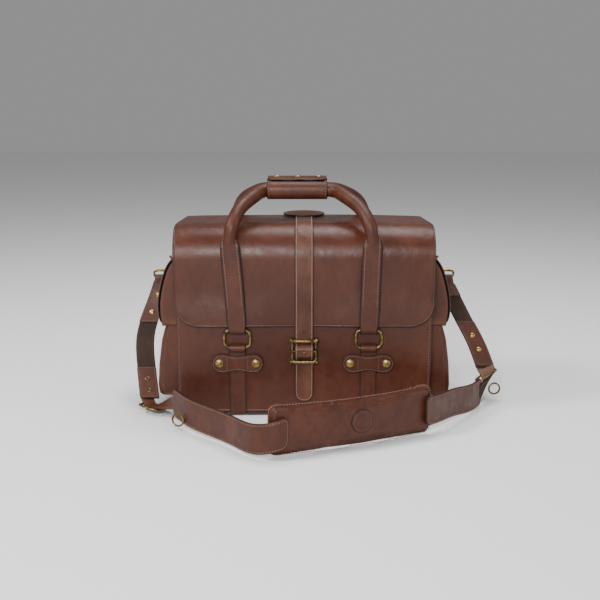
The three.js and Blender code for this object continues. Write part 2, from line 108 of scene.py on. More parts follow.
def startMaterial(name):
    material = bpy.data.materials.new(name)
    material.use_nodes = True
    shader = material.node_tree.nodes["Principled BSDF"]
    return material, material.node_tree, shader


def addBump(tree, shader, layers):
    normal = None
    for height, strength, distance in layers:
        bump = tree.nodes.new("ShaderNodeBump")
        bump.inputs["Strength"].default_value = strength
        bump.inputs["Distance"].default_value = distance
        wire(tree, height, bump.inputs["Height"])
        if normal is not None:
            wire(tree, normal, bump.inputs["Normal"])
        normal = bump.outputs["Normal"]
    wire(tree, normal, shader.inputs["Normal"])


# Waxed leather: two tones in soft patches, pores, creases, a dark burnished rim and a paler line just
# inside it.
# The rim is a distance from the cut edge in millimetres, kept on each mesh
def makeLeather(name, look):
    material, tree, shader = startMaterial(name)
    patches = remap(tree, noise(tree, look["patch"], 4.0, 0.6), 0.32, 0.68, 0.0, 1.0, "SMOOTHSTEP")
    colour = mixColour(tree, patches, look["dark"], look["light"])
    clouds = remap(tree, noise(tree, 95.0, 5.0, 0.65), 0.3, 0.75, 0.0, look["mottle"])
    colour = mixColour(tree, clouds, colour, look["deep"])
    pull = remap(tree, noise(tree, 30.0, 2.0, 0.5, (1.0, 1.0, 0.35)), 0.55, 0.75, 0.0, look["pull"])
    colour = mixColour(tree, pull, colour, look["pale"])
    rim = tree.nodes.new("ShaderNodeAttribute")
    rim.attribute_name = "rim"
    away = rim.outputs["Fac"]
    wander = remap(tree, noise(tree, 260.0, 3.0), 0.2, 0.8, -0.5, 0.5)
    away = sumOf(tree, "ADD", away, wander)
    paler = sumOf(tree, "MULTIPLY", remap(tree, away, 1.4, 2.2, 0.0, 1.0),
                  remap(tree, away, 2.4, 5.0, 1.0, 0.0))
    colour = mixColour(tree, sumOf(tree, "MULTIPLY", paler, look["edgePale"]), colour, look["pale"])
    burnt = remap(tree, away, 0.5, 1.7, look["edgeDark"], 0.0, "SMOOTHSTEP")
    colour = mixColour(tree, burnt, colour, look["edge"])
    seam = tree.nodes.new("ShaderNodeAttribute")
    seam.attribute_name = "seam"
    colour = mixColour(tree, sumOf(tree, "MULTIPLY", seam.outputs["Fac"], look["seam"]), colour, look["edge"])
    wire(tree, colour, shader.inputs["Base Color"])
    sheen = remap(tree, noise(tree, 55.0, 4.0, 0.6), 0.3, 0.7, look["gloss"] - 0.07, look["gloss"] + 0.09)
    wire(tree, sheen, shader.inputs["Roughness"])
    shader.inputs["Specular IOR Level"].default_value = look["shine"]
    pores = tree.nodes.new("ShaderNodeTexVoronoi")
    pores.feature = "F1"
    pores.inputs["Scale"].default_value = look["grain"]
    wire(tree, tree.nodes.new("ShaderNodeTexCoord").outputs["Object"], pores.inputs["Vector"])
    addBump(tree, shader, [
        (pores.outputs["Distance"], look["pores"], 0.0004),
        (noise(tree, look["grain"] * 0.6, 4.0, 0.7), look["pores"] * 0.9, 0.0005),
        (noise(tree, 70.0, 3.0, 0.5, (1.0, 1.0, 0.5)), look["creases"], 0.0022),
    ])
    return material


# Aged brass: bright metal on the open faces and brown patina in soft patches
def makeBrass(name, look):
    material, tree, shader = startMaterial(name)
    stain = remap(tree, noise(tree, 140.0, 5.0, 0.7), look["from"], look["to"], 0.0, 1.0, "SMOOTHSTEP")
    colour = mixColour(tree, stain, look["bright"], look["dull"])
    wire(tree, colour, shader.inputs["Base Color"])
    wire(tree, remap(tree, noise(tree, 210.0, 4.0), 0.3, 0.7, look["gloss"], look["gloss"] + 0.2),
         shader.inputs["Roughness"])
    shader.inputs["Metallic"].default_value = 1.0
    addBump(tree, shader, [(noise(tree, 420.0, 4.0, 0.6), 0.25, 0.0006)])
    return material


# Waxed thread, darker in its twist
def makeThread(name, look):
    material, tree, shader = startMaterial(name)
    twist = noise(tree, 1500.0, 2.0)
    wire(tree, mixColour(tree, remap(tree, twist, 0.35, 0.65, 0.0, 1.0), look["dark"], look["light"]),
         shader.inputs["Base Color"])
    shader.inputs["Roughness"].default_value = look["gloss"]
    addBump(tree, shader, [(twist, 0.4, 0.0003)])
    return material


leatherLook = {
    "dark": (0.051, 0.0118, 0.0045), "light": (0.080, 0.0195, 0.0073), "deep": (0.028, 0.0066, 0.0028),
    "pale": (0.155, 0.048, 0.022), "edge": (0.010, 0.0045, 0.003), "patch": 7.0, "mottle": 0.4, "pull": 0.14,
    "edgePale": 0.3, "edgeDark": 0.95, "seam": 0.75, "gloss": 0.37, "shine": 0.33, "grain": 900.0,
    "pores": 0.22, "creases": 0.3,
}
bodyLeather = makeLeather("chestnutLeather", leatherLook)
strapLeather = makeLeather("strapLeather",
                           {**leatherLook, "patch": 16.0, "mottle": 0.65, "gloss": 0.46, "edgePale": 0.5})
closureLeather = makeLeather("creasedStrapLeather", {
    **leatherLook, "light": (0.125, 0.052, 0.028), "grain": 620.0, "pores": 0.6, "creases": 0.55,
    "edgePale": 0.75, "pull": 0.4})
fleshLeather = makeLeather("fleshSide", {
    **leatherLook, "dark": (0.020, 0.0115, 0.008), "light": (0.040, 0.024, 0.016),
    "pale": (0.09, 0.055, 0.036),
    "gloss": 0.72, "shine": 0.2, "grain": 1500.0, "pores": 0.7, "creases": 0.5, "edgePale": 0.2})
tanLeather = makeLeather("tanFleshSide", {
    **leatherLook, "dark": (0.11, 0.055, 0.032), "light": (0.19, 0.105, 0.066), "deep": (0.075, 0.037, 0.022),
    "pale": (0.30, 0.19, 0.125), "gloss": 0.66, "shine": 0.25, "grain": 1300.0, "pores": 0.6})
liningLeather = makeLeather("suedeLining", {
    **leatherLook, "dark": (0.050, 0.026, 0.017), "light": (0.085, 0.048, 0.032), "gloss": 0.85, "shine": 0.1,
    "grain": 1800.0, "pores": 0.8, "edgePale": 0.0})
brassLook = {"bright": (0.27, 0.185, 0.080), "dull": (0.055, 0.034, 0.017), "from": 0.36, "to": 0.66,
             "gloss": 0.28}
agedBrass = makeBrass("agedBrass", brassLook)
rivetBrass = makeBrass("polishedBrass",
                       {**brassLook, "bright": (0.42, 0.29, 0.11), "from": 0.46, "to": 0.80, "gloss": 0.27})
darkThread = makeThread("waxedThread",
                        {"dark": (0.065, 0.027, 0.015), "light": (0.19, 0.086, 0.050), "gloss": 0.5})
paleThread = makeThread("paleThread",
                        {"dark": (0.17, 0.095, 0.065), "light": (0.36, 0.24, 0.18), "gloss": 0.55})
print("materials made")


# A mesh object from places in millimetres and faces of four corners, with values kept per place.
# Faces are turned round if the volume they close comes out negative
def makeObject(name, places, quads, material, values=None, ends=(), body=None):
    places = np.asarray(places, float).reshape(-1, 3)
    quads = np.asarray(quads, int).reshape(-1, 4)
    a, b, c, d = (places[quads[:, k]] for k in range(4))
    inside = (np.einsum("ij,ij->i", a, np.cross(b, c)) + np.einsum("ij,ij->i", a, np.cross(c, d))).sum()
    for ring in ends:
        corner = places[list(ring)]
        inside += np.einsum("ij,ij->i", corner[:1].repeat(len(corner) - 2, 0),
                            np.cross(corner[1:-1], corner[2:])).sum()
    turn = -1 if inside < 0 else 1
    faces = quads[:, ::turn].tolist() + [list(ring)[::turn] for ring in ends]
    mesh = bpy.data.meshes.new(name)
    mesh.from_pydata((places * 0.001).tolist(), [], faces)
    mesh.polygons.foreach_set("use_smooth", np.ones(len(faces), bool))
    for key, numbers in (values or {}).items():
        mesh.attributes.new(key, "FLOAT",
                            "POINT").data.foreach_set("value", np.asarray(numbers, np.float32).ravel())
    mesh.materials.append(material)
    mesh.update()
    thing = bpy.data.objects.new(name, mesh)
    bpy.context.scene.collection.objects.link(thing)
    if body is not None:
        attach(thing, body)
    return thing


# Numbered faces of a grid of rows and columns, joined round where a direction is closed
def gridFaces(rows, columns, closedRows=False, closedColumns=False):
    i, j = np.meshgrid(np.arange(rows - (not closedRows)), np.arange(columns - (not closedColumns)),
                       indexing="ij")
    k, m = (i + 1) % rows, (j + 1) % columns
    return np.stack([i * columns + j, i * columns + m, k * columns + m, k * columns + j], -1).reshape(-1, 4)


def unit(vectors):
    return vectors / np.maximum(np.linalg.norm(vectors, axis=-1, keepdims=True), 1e-9)


# A smooth line through points: a natural cubic spline over the distance between them, at even steps of length
def smoothLine(points, count):
    points = np.asarray(points, float)
    reach = np.r_[0, np.cumsum(np.linalg.norm(np.diff(points, axis=0), axis=1))]
    h = np.diff(reach)
    n = len(points)
    system, right = np.eye(n), np.zeros((n, points.shape[1]))
    inner = np.arange(1, n - 1)
    system[inner, inner - 1], system[inner, inner], system[inner, inner + 1] = (
        h[:-1], 2 * (h[:-1] + h[1:]), h[1:])
    slope = np.diff(points, axis=0) / h[:, None]
    right[1:-1] = 6 * (slope[1:] - slope[:-1])
    bend = np.linalg.solve(system, right)
    fine = np.linspace(0, reach[-1], 1500)
    k = np.clip(np.searchsorted(reach, fine, "right") - 1, 0, n - 2)
    u, v, w = (fine - reach[k])[:, None], (reach[k + 1] - fine)[:, None], h[k][:, None]
    line = (bend[k] * v**3 + bend[k + 1] * u**3) / (6 * w)
    line = line + (points[k] / w - bend[k] * w / 6) * v + (points[k + 1] / w - bend[k + 1] * w / 6) * u
    return evenly(line, count)


# The same line with its places at even steps of length
def evenly(line, count):
    line = np.asarray(line, float)
    reach = np.r_[0, np.cumsum(np.linalg.norm(np.diff(line, axis=0), axis=1))]
    wanted = np.linspace(0, reach[-1], count)
    return np.stack([np.interp(wanted, reach, line[:, k]) for k in range(line.shape[1])], -1)


# Points on a circle in a plane, angles in degrees
def arcLine(cx, cy, radius, start, end, count):
    angle = np.radians(np.linspace(start, end, count))
    return np.stack([cx + radius * np.cos(angle), cy + radius * np.sin(angle)], -1)


# A surface round a line of places: length s runs along the line and width a along a side direction
def alongLine(line, side):
    line = np.asarray(line, float)
    reach = np.r_[0, np.cumsum(np.linalg.norm(np.diff(line, axis=0), axis=1))]
    sides = np.broadcast_to(np.asarray(side, float), line.shape)

    def surface(s, a):
        s = np.asarray(s, float)
        inside = np.clip(s, 0, reach[-1])
        first, last = unit(line[1] - line[0]), unit(line[-1] - line[-2])
        place = np.stack([np.interp(inside, reach, line[:, k]) for k in range(3)], -1)
        place = place + np.minimum(s, 0)[..., None] * first + np.maximum(s - reach[-1], 0)[..., None] * last
        across = unit(np.stack([np.interp(inside, reach, sides[:, k]) for k in range(3)], -1))
        return place + across * np.asarray(a)[..., None]

    return surface, reach[-1]


# The upward direction of a surface, from its slopes both ways
def facing(surface, s, a, step=0.6):
    along = surface(s + step, a) - surface(s - step, a)
    across = surface(s, a + step) - surface(s, a - step)
    return unit(np.cross(along, across))


# The distance from the rim of a strip of changing half width, with a corner radius at each end
def rimDistance(s, a, length, half, corners):
    side = half(s) - np.abs(a)
    away = np.minimum(side, np.minimum(s, length - s))
    for reach, radius in ((s, corners[0]), (length - s, corners[1])):
        if radius > 0:
            near = (side < radius) & (reach < radius)
            away = np.where(near, radius - np.hypot(radius - side, radius - reach), away)
    return np.maximum(away, 0)


# The half width left at a length, once the corner circles are taken off
def trimmedHalf(s, length, half, corners):
    wide = half(s)
    for reach, radius in ((s, corners[0]), (length - s, corners[1])):
        if radius > 0:
            back = np.clip(radius - reach, 0, radius)
            wide = wide - radius + np.sqrt(np.maximum(radius**2 - back**2, 0.0))
    return np.maximum(wide, 0.15)


# A leather strip. Its two faces stand off the surface by half the thickness, rounding down to nothing at
# the rim by
# a quarter circle; the outer one may carry a crown, a pressed line near the rim and its own relief
def makeStrip(name, surface, length, half, thickness, material, corners=(0, 0), crown=0.0, crease=None,
              outward=1,
              relief=None, under=None, step=4.0, body=None, back=None):
    halfAt = half if callable(half) else (lambda s: np.full(np.shape(s), float(half)))
    rounding = thickness / 2
    ladder = np.array([0, 0.08, 0.3, 0.65, 1.0]) * rounding
    if crease:
        ladder = np.r_[ladder, crease["at"] + np.array([-0.8, -0.35, 0, 0.35, 0.8])]
    ladder = np.unique(np.r_[ladder[ladder >= 0], ladder.max() + 1.0])
    rows = np.r_[ladder, length - ladder, np.arange(ladder.max(), length - ladder.max(), step)]
    for k, radius in enumerate(corners):
        if radius > 0:
            turns = radius * (1 - np.cos(np.linspace(0, math.pi / 2, 12)))
            rows = np.r_[rows, turns if k == 0 else length - turns]
    rows = np.unique(np.round(np.clip(rows, 0, length), 3))
    rows = rows[np.r_[True, np.diff(rows) > 0.02]]
    rows[-1] = length
    wide = trimmedHalf(rows, length, halfAt, corners)
    count = max(int(2 * wide.max() / step), 4)
    shrink = np.minimum(1.0, wide / (ladder.max() * 1.3))[:, None]
    lower = -wide[:, None] + ladder[None] * shrink
    inner = (wide - ladder.max() * shrink[:, 0])[:, None] * np.linspace(-1, 1, count)[None, 1:-1]
    a = np.concatenate([lower, inner, -lower[:, ::-1]], 1)
    s = np.repeat(rows[:, None], a.shape[1], 1)
    rim = rimDistance(s, a, length, halfAt, corners)
    rim[0], rim[-1], rim[:, 0], rim[:, -1] = 0, 0, 0, 0
    rise = rounding * np.sqrt(1 - (1 - np.clip(rim / rounding, 0, 1)) ** 2)
    bulge = crown * (1 - (a / np.maximum(halfAt(s), 1)) ** 2) * np.clip(rim / 6, 0, 1)
    top = rise + bulge
    if crease:
        top = top - crease["deep"] * np.exp(-(((rim - crease["at"]) / crease["wide"]) ** 2))
    if relief is not None:
        top = top + relief(s, a) * np.clip(rim / 2, 0, 1)
    bottom = -rise + bulge
    if under is not None:
        bottom = bottom + under(s, a) * np.clip(rim / 2, 0, 1)
    base, up = surface(s, a), facing(surface, s, a) * outward
    n, m = s.shape
    border = np.zeros((n, m), bool)
    border[0], border[-1], border[:, 0], border[:, -1] = True, True, True, True
    number = np.arange(n * m).reshape(n, m)
    lowNumber = np.where(border, number, 0)
    lowNumber[~border] = n * m + np.arange((~border).sum())
    quads = gridFaces(n, m)
    lowQuads = lowNumber.ravel()[quads][:, ::-1]
    upper = (base + up * top[..., None]).reshape(-1, 3)
    lowPlaces = (base + up * bottom[..., None])[~border]
    rims = np.r_[rim.ravel(), rim[~border]]
    seams = np.exp(-(((rims - crease["at"]) / 0.75) ** 2)) if crease else np.zeros(len(rims))
    values = {"rim": rims, "seam": seams}
    thing = makeObject(name, np.r_[upper, lowPlaces], np.r_[quads, lowQuads], material, values, body=body)
    if back is not None:
        thing.data.materials.append(back)
        which = np.r_[np.zeros(len(quads), np.int32), np.ones(len(quads), np.int32)]
        thing.data.polygons.foreach_set("material_index", which)
    return thing


# Stitches along a line of places: small capsules laid end to end with a gap, each raised in the middle
def makeStitches(name, line, up, look, material, body=None):
    line, up = np.asarray(line, float), np.asarray(up, float)
    reach = np.r_[0, np.cumsum(np.linalg.norm(np.diff(line, axis=0), axis=1))]
    count = max(int(reach[-1] / look["pitch"]), 1)
    middle = (np.arange(count) + 0.5) * reach[-1] / count
    at = lambda s, array: np.stack([np.interp(s, reach, array[:, k]) for k in range(3)], -1)
    centre, normal = at(middle, line), unit(at(middle, up))
    along = unit(at(middle + 0.4, line) - at(middle - 0.4, line))
    across = unit(np.cross(normal, along))
    along = unit(along + across * look.get("slant", 0.12))
    across = unit(np.cross(normal, along))
    half, thick = look["pitch"] * 0.40, look["thick"]
    t = np.linspace(-1, 1, 7)
    round_ = np.sqrt(np.maximum(1 - np.abs(t) ** 4, 0.02))
    angle = np.linspace(0, 2 * math.pi, 8, endpoint=False)
    offAlong = np.repeat(t[:, None] * half, 8, 1)
    offAcross = thick * round_[:, None] * np.cos(angle)[None]
    offUp = (thick * round_[:, None] * np.sin(angle)[None]
             + (look.get("lift", 0.15) - 0.45 * thick * t**2)[:, None])
    offsets = [array.reshape(1, -1, 1) for array in (offAlong, offAcross, offUp)]
    places = (centre[:, None] + along[:, None] * offsets[0] + across[:, None] * offsets[1]
              + normal[:, None] * offsets[2])
    one = gridFaces(7, 8, closedColumns=True)
    shift = (np.arange(count) * 56)[:, None, None]
    quads = (one[None] + shift).reshape(-1, 4)
    caps = np.stack([[0, 1, 2, 3], [0, 3, 4, 7], [4, 5, 6, 7]])
    capEnds = (np.concatenate([caps[:, ::-1] + 0, caps + 48])[None] + shift).reshape(-1, 4)
    return makeObject(name, places.reshape(-1, 3), np.r_[quads, capEnds], material, body=body)


# A line on a strip at a set distance inside its rim, round the corners at its ends, with the direction it
# faces
def insetLine(surface, length, half, corners, inset, rise, outward=1, part="all"):
    halfAt = half if callable(half) else (lambda s: np.full(np.shape(s), float(half)))
    s = np.linspace(inset, length - inset, 400)
    for k, radius in enumerate(corners):
        if radius > inset:
            turns = radius - (radius - inset) * np.cos(np.linspace(0, math.pi / 2, 24))
            s = np.r_[s, turns if k == 0 else length - turns]
    s = np.unique(s)
    insetCorners = [max(radius - inset, 0) for radius in corners]
    wide = trimmedHalf(s - inset, length - 2 * inset, lambda v: halfAt(v + inset) - inset, insetCorners)
    right, left = np.stack([s, wide], -1), np.stack([s, -wide], -1)
    if part == "right":
        run = right
    elif part == "left":
        run = left
    elif part == "end":
        run = np.r_[right, left[::-1]]
    elif part == "start":
        run = np.r_[right[::-1], left]
    else:
        run = np.r_[right, left[::-1], right[:1]]
    place = surface(run[:, 0], run[:, 1])
    up = facing(surface, run[:, 0], run[:, 1]) * outward
    return place + up * rise, up


# A tube along a line of places. Its frame is held by one reference direction, and its radius may change
# along it
def makeTube(name, line, radius, material, reference, closed=False, sides=18, flat=1.0, body=None):
    line = np.asarray(line, float)
    if closed:
        along = unit(np.roll(line, -1, 0) - np.roll(line, 1, 0))
    else:
        along = unit(np.gradient(line, axis=0))
    out = unit(np.cross(along, np.broadcast_to(np.asarray(reference, float), line.shape)))
    up = np.cross(out, along)
    angle = np.linspace(0, 2 * math.pi, sides, endpoint=False)
    size = np.broadcast_to(np.asarray(radius, float), (len(line),))[:, None, None]
    ring = out[:, None] * np.cos(angle)[None, :, None] + up[:, None] * np.sin(angle)[None, :, None] * flat
    places = line[:, None] + ring * size
    quads = gridFaces(len(line), sides, closedRows=closed, closedColumns=True)
    ends = [] if closed else [np.arange(sides)[::-1], (len(line) - 1) * sides + np.arange(sides)]
    return makeObject(name, places, quads, material, {"rim": np.full(places.shape[0] * sides, 9.0)}, ends,
                      body)


# A closed wire loop on a superellipse: across and up are its two directions
def ringLine(centre, across, up, halfWidth, halfHeight, squareness, count=72):
    angle = np.linspace(0, 2 * math.pi, count, endpoint=False)
    soften = lambda value: np.sign(value) * np.abs(value) ** (2 / squareness)
    x, y = halfWidth * soften(np.cos(angle)), halfHeight * soften(np.sin(angle))
    line = (np.asarray(centre, float) + unit(np.asarray(across, float)) * x[:, None]
            + unit(np.asarray(up, float)) * y[:, None])
    closed = evenly(np.r_[line, line[:1]], count + 1)
    return closed[:-1]


# A body of revolution: radii and heights turned about a line through a place
def makeTurned(name, place, direction, profile, material, body=None, sides=28):
    profile = np.asarray(profile, float)
    direction = unit(np.asarray(direction, float))
    helper = np.array([0.0, 0.0, 1.0]) if abs(direction[2]) < 0.9 else np.array([1.0, 0.0, 0.0])
    first = unit(np.cross(direction, helper))
    second = np.cross(direction, first)
    angle = np.linspace(0, 2 * math.pi, sides, endpoint=False)
    turn = first[None] * np.cos(angle)[:, None] + second[None] * np.sin(angle)[:, None]
    places = np.asarray(place, float) + profile[:, None, :1] * turn[None] + profile[:, None, 1:] * direction
    quads = gridFaces(len(profile), sides, closedColumns=True)
    ends = [np.arange(sides)[::-1], (len(profile) - 1) * sides + np.arange(sides)]
    return makeObject(name, places, quads, material, {"rim": np.full(len(profile) * sides, 9.0)}, ends,
                      body)


# The profile of a domed cap with a rolled rim
def capProfile(radius, height):
    angle = np.linspace(0, math.pi / 2, 9)
    dome = np.stack([radius * 0.86 * np.cos(angle), height * 0.45 + height * 0.55 * np.sin(angle)], -1)
    dome[-1, 0] = 0.02
    return np.r_[[[0.02, 0.0], [radius * 0.97, 0.0], [radius, height * 0.14], [radius, height * 0.30],
                  [radius * 0.95, height * 0.42], [radius * 0.90, height * 0.44]], dome]


# A plate cut to an outline, with a rounded rim. Rings step in from the outline, then shrink to its middle
def makePlate(name, outline, surface, thickness, material, relief=None, outward=1, crease=None, body=None):
    outline = np.asarray(outline, float)
    along = unit(np.roll(outline, -1, 0) - np.roll(outline, 1, 0))
    inward = np.stack([-along[:, 1], along[:, 0]], -1)
    middle = outline.mean(0)
    if np.einsum("ij,ij->", middle - outline, inward) < 0:
        inward = -inward
    rounding = thickness / 2
    steps = np.array([0, 0.08, 0.3, 0.65, 1.0]) * rounding
    if crease:
        steps = np.r_[steps, crease["at"] + np.array([-0.7, -0.35, 0, 0.35, 0.7])]
    steps = np.unique(steps)
    rings = [outline + inward * step for step in steps]
    shares = np.linspace(1, 0.02, 14)[1:]
    rings += [middle + (rings[-1] - middle) * share for share in shares]
    rim = np.r_[steps, steps[-1] + 1 + 12 * (1 - shares)]
    grid = np.stack(rings)
    s, a = grid[..., 0], grid[..., 1]
    rim = np.repeat(rim[:, None], s.shape[1], 1)
    rise = rounding * np.sqrt(1 - (1 - np.clip(rim / rounding, 0, 1)) ** 2)
    top = rise.copy()
    if crease:
        top -= crease["deep"] * np.exp(-(((rim - crease["at"]) / crease["wide"]) ** 2))
    if relief is not None:
        top = top + relief(s, a) * np.clip(rim / 1.5, 0, 1)
    base, up = surface(s, a), facing(surface, s, a) * outward
    rows, columns = s.shape
    upper = (base + up * top[..., None]).reshape(-1, 3)
    lower = (base - up * rise[..., None])[1:].reshape(-1, 3)
    quads = gridFaces(rows, columns, closedColumns=True)
    number = np.r_[np.arange(columns), rows * columns + np.arange((rows - 1) * columns)]
    lowQuads = number[quads][:, ::-1]
    topEnd = (rows - 1) * columns + np.arange(columns)
    lowEnd = number[topEnd][::-1]
    rims = np.r_[rim.ravel(), rim[1:].ravel()]
    seams = np.exp(-(((rims - crease["at"]) / 0.75) ** 2)) if crease else np.zeros(len(rims))
    values = {"rim": rims, "seam": seams}
    return makeObject(name, np.r_[upper, lower], np.r_[quads, lowQuads], material, values, [topEnd, lowEnd],
                      body)


# A flat surface from a corner and two directions
def flatSurface(corner, along, across):
    corner, along, across = (np.asarray(v, float) for v in (corner, along, across))
    return lambda s, a: corner + np.asarray(s)[..., None] * along + np.asarray(a)[..., None] * across


def hideNodes(thing, *nodes):
    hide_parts(*nodes)
    return thing


fineStitch = {"pitch": 4.0, "thick": 0.68, "lift": 0.18}
boldStitch = {"pitch": 4.8, "thick": 0.84, "lift": 0.22}
print("shape functions ready")


# The flap: one sheet over the top, round the shoulder and down the front. Its line is two arcs and
# straights in
# (y, z), and its free edges droop by the fourth power of the distance out
flapSize = {"half": 213, "thick": 2.8, "bottom": 152.5, "corner": 40, "droop": 2.6, "bow": 1.6,
            "rear": 203, "lift": 4.4}
flapLine = np.r_[
    arcLine(52, 273, 43.6, 4, 90, 24), [[20, 316.9], [-12, 317.0]],
    arcLine(-44, 263, 53.6, 90, 180, 30), [[-97.6, 230], [-97.6, 190], [-97.6, flapSize["bottom"]]]]
flapPlaces = np.c_[np.zeros(240), evenly(flapLine, 240)]
flapBare, flapLength = alongLine(flapPlaces, (1, 0, 0))


def flapSurface(s, a):
    place = flapBare(s, a)
    side = np.abs(a) / flapSize["half"]
    top = np.clip((place[..., 2] - 262) / 40, 0, 1)
    place[..., 2] -= flapSize["droop"] * side**4 * top
    place[..., 2] += 0.5 * np.sin(a / 47 + 0.8) * np.sin(s / 61) * top
    place[..., 1] += (1 - top) * 0.5 * np.sin(a / 66 + 1) * np.sin(s / 48)
    low = np.clip((218 - place[..., 2]) / 62, 0, 1)
    low = low**2 * (3 - 2 * low)
    place[..., 1] -= flapSize["lift"] * low * (1 - np.exp(-((a / 52) ** 2))) * (1 + 0.12 * np.sin(a / 31))
    place[..., 0] += np.sign(a) * side**3 * flapSize["bow"] * np.sin(np.clip(s / flapLength, 0, 1) * math.pi)
    return place


# The half width grows by a smooth step from the rear fold to the shoulder
def flapHalf(s):
    share = np.clip((np.asarray(s, float) - 50) / 140, 0, 1)
    return flapSize["rear"] + (flapSize["half"] - flapSize["rear"]) * share**2 * (3 - 2 * share)


flapStrip = makeStrip("flapSheet", flapSurface, flapLength, flapHalf, flapSize["thick"], bodyLeather,
                      corners=(0, flapSize["corner"]), crease={"at": 3.0, "deep": 0.35, "wide": 0.5},
                      back=liningLeather, step=5.0)
hideNodes(flapStrip, "flap_top", "flap_front")
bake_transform(flapStrip)

# The leaf that covers the hinge at the back, sewn to the back panel
rearLeaf = np.r_[[[96.9, 238], [96.9, 250]], [[98.9, 262]], arcLine(52, 273, 46.6, 2, 24, 10)]
surface, length = alongLine(np.c_[np.zeros(90), evenly(rearLeaf, 90)], (1, 0, 0))
leaf = makeStrip("hingeLeaf", surface, length, 200, 2.2, bodyLeather, corners=(10, 4), outward=-1,
                 crease={"at": 3.2, "deep": 0.35, "wide": 0.5}, step=5.0)
line, up = insetLine(surface, length, 200, (10, 4), 3.2, 1.2, -1)
leafThread = makeStitches("hingeStitches", line, up, boldStitch, darkThread)
for thing in (leaf, leafThread):
    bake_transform(thing)
print("flap made")

# The strap sewn down the flap, which threads the buckle and hangs free below it
closureSize = {"half": 15.5, "thick": 2.1, "tip": 14.5, "start": 16}
tailLine = [(-100.35, 152), (-99.8, 131), (-100.7, 125.5), (-109.95, 117.5), (-110.35, 112), (-109.95, 106.5),
            (-100.7, 98.5), (-99.8, 92), (-98.6, 75), (-98.5, 48), (-98.7, 25)]
closureLine = np.r_[[[closureSize["start"], 319.4], [-20, 319.45]], arcLine(-44, 263, 56.4, 90, 180, 26),
                    [[-100.35, 235], [-100.35, 205], [-100.35, 175]]]
closureLine = np.r_[evenly(closureLine, 150), smoothLine([(-100.35, 164), *tailLine], 110)]
closureSurface, closureLength = alongLine(np.c_[np.zeros(len(closureLine)), closureLine], (1, 0, 0))


# Fine cross creases where the strap bends through the buckle and hangs below it
def closureCreases(s, a):
    low = np.clip((s - closureLength + 95) / 20, 0, 1)
    return low * 0.11 * np.sin(s * 2.1 + 0.8 * np.sin(a / 5)) * (0.6 + 0.4 * np.sin(s / 5.3))


closure = makeStrip("closureStrap", closureSurface, closureLength, closureSize["half"], closureSize["thick"],
                    closureLeather, corners=(0, closureSize["tip"]), crown=0.35,
                    crease={"at": 3.0, "deep": 0.3, "wide": 0.5}, back=fleshLeather, step=1.0,
                    relief=closureCreases)
hideNodes(closure, "closure_strap", "closure_strap_tail")
line, up = insetLine(closureSurface, closureLength, closureSize["half"], (0, closureSize["tip"]), 3.0, 1.35,
                     1, "end")
closureThread = makeStitches("closureStitches", line, up, fineStitch, paleThread)
for thing in (closure, closureThread):
    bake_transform(thing)

# A punched hole above the buckle, drawn as a dark dish with a pressed ring: the dark colour is painted shade
# inside the hole
makeTurned("closureHoleShade", (0, -101.25, 145), (0, -1, 0),
           [[0.02, 0.1], [1.5, 0.12], [1.9, 0.45], [2.5, 0.3], [2.8, -0.2]],
                  fleshLeather, "flap_front")
print("closure strap made")

# The round patch on top, with a pressed ring and a plain eight-petal device
patchSize = {"radius": 36, "ring": 30, "petal": 16}


def patchRelief(s, a):
    reach, angle = np.hypot(s, a), np.arctan2(a, s)
    ring = -0.5 * np.exp(-(((reach - patchSize["ring"]) / 0.9) ** 2))
    petals = 0.45 / (1 + np.exp((reach - patchSize["petal"] * (1 + 0.28 * np.cos(8 * angle))) / 0.5))
    return ring + petals


patchTurn = np.linspace(0, 2 * math.pi, 96, endpoint=False)
patch = makePlate("flapPatch", patchSize["radius"] * np.c_[np.cos(patchTurn), np.sin(patchTurn)],
                  flatSurface((0, 44, 321.7), (1, 0, 0), (0, 1, 0)), 2.0, strapLeather, patchRelief,
                  body="flap_top")
hideNodes(patch, "flap_patch")
rim = np.c_[33 * np.cos(patchTurn), 44 + 33 * np.sin(patchTurn), np.full(96, 322.75)]
makeStitches("patchStitches", np.r_[rim, rim[:1]], np.tile((0, 0, 1.0), (97, 1)), fineStitch, darkThread,
             "flap_top")
print("patch made")

# Rolled handles: a flat strap whose edges curl back round a core until they meet in a seam. Each section
# is a mix of
# a rounded bar and a circle, by how far the strap has curled
handleSize = {"half": 16, "thick": 3.4, "tube": 11.2, "fold": 14.5, "rollFrom": 284, "rollTo": 320}
faceShare = np.linspace(-1, 1, 27)
bendAngle = np.linspace(0, math.pi, 7)[1:-1]
sectionShare = np.r_[faceShare, np.ones(5), faceShare[::-1], -np.ones(5)]
sectionOut = np.r_[np.zeros(27), np.sin(bendAngle), np.zeros(27), -np.sin(bendAngle)]
sectionUp = np.r_[np.ones(27), np.cos(bendAngle), -np.ones(27), -np.cos(bendAngle)]
sectionTurn = np.r_[faceShare * 0.95, np.linspace(0.955, 0.97, 5), 1.0 - 0.03 * faceShare[::-1],
                    np.linspace(1.03, 1.045, 5)]
sectionSink = np.r_[np.zeros(27), np.linspace(0.2, 1.2, 5), np.full(27, 1.6), np.linspace(1.2, 0.2, 5)]


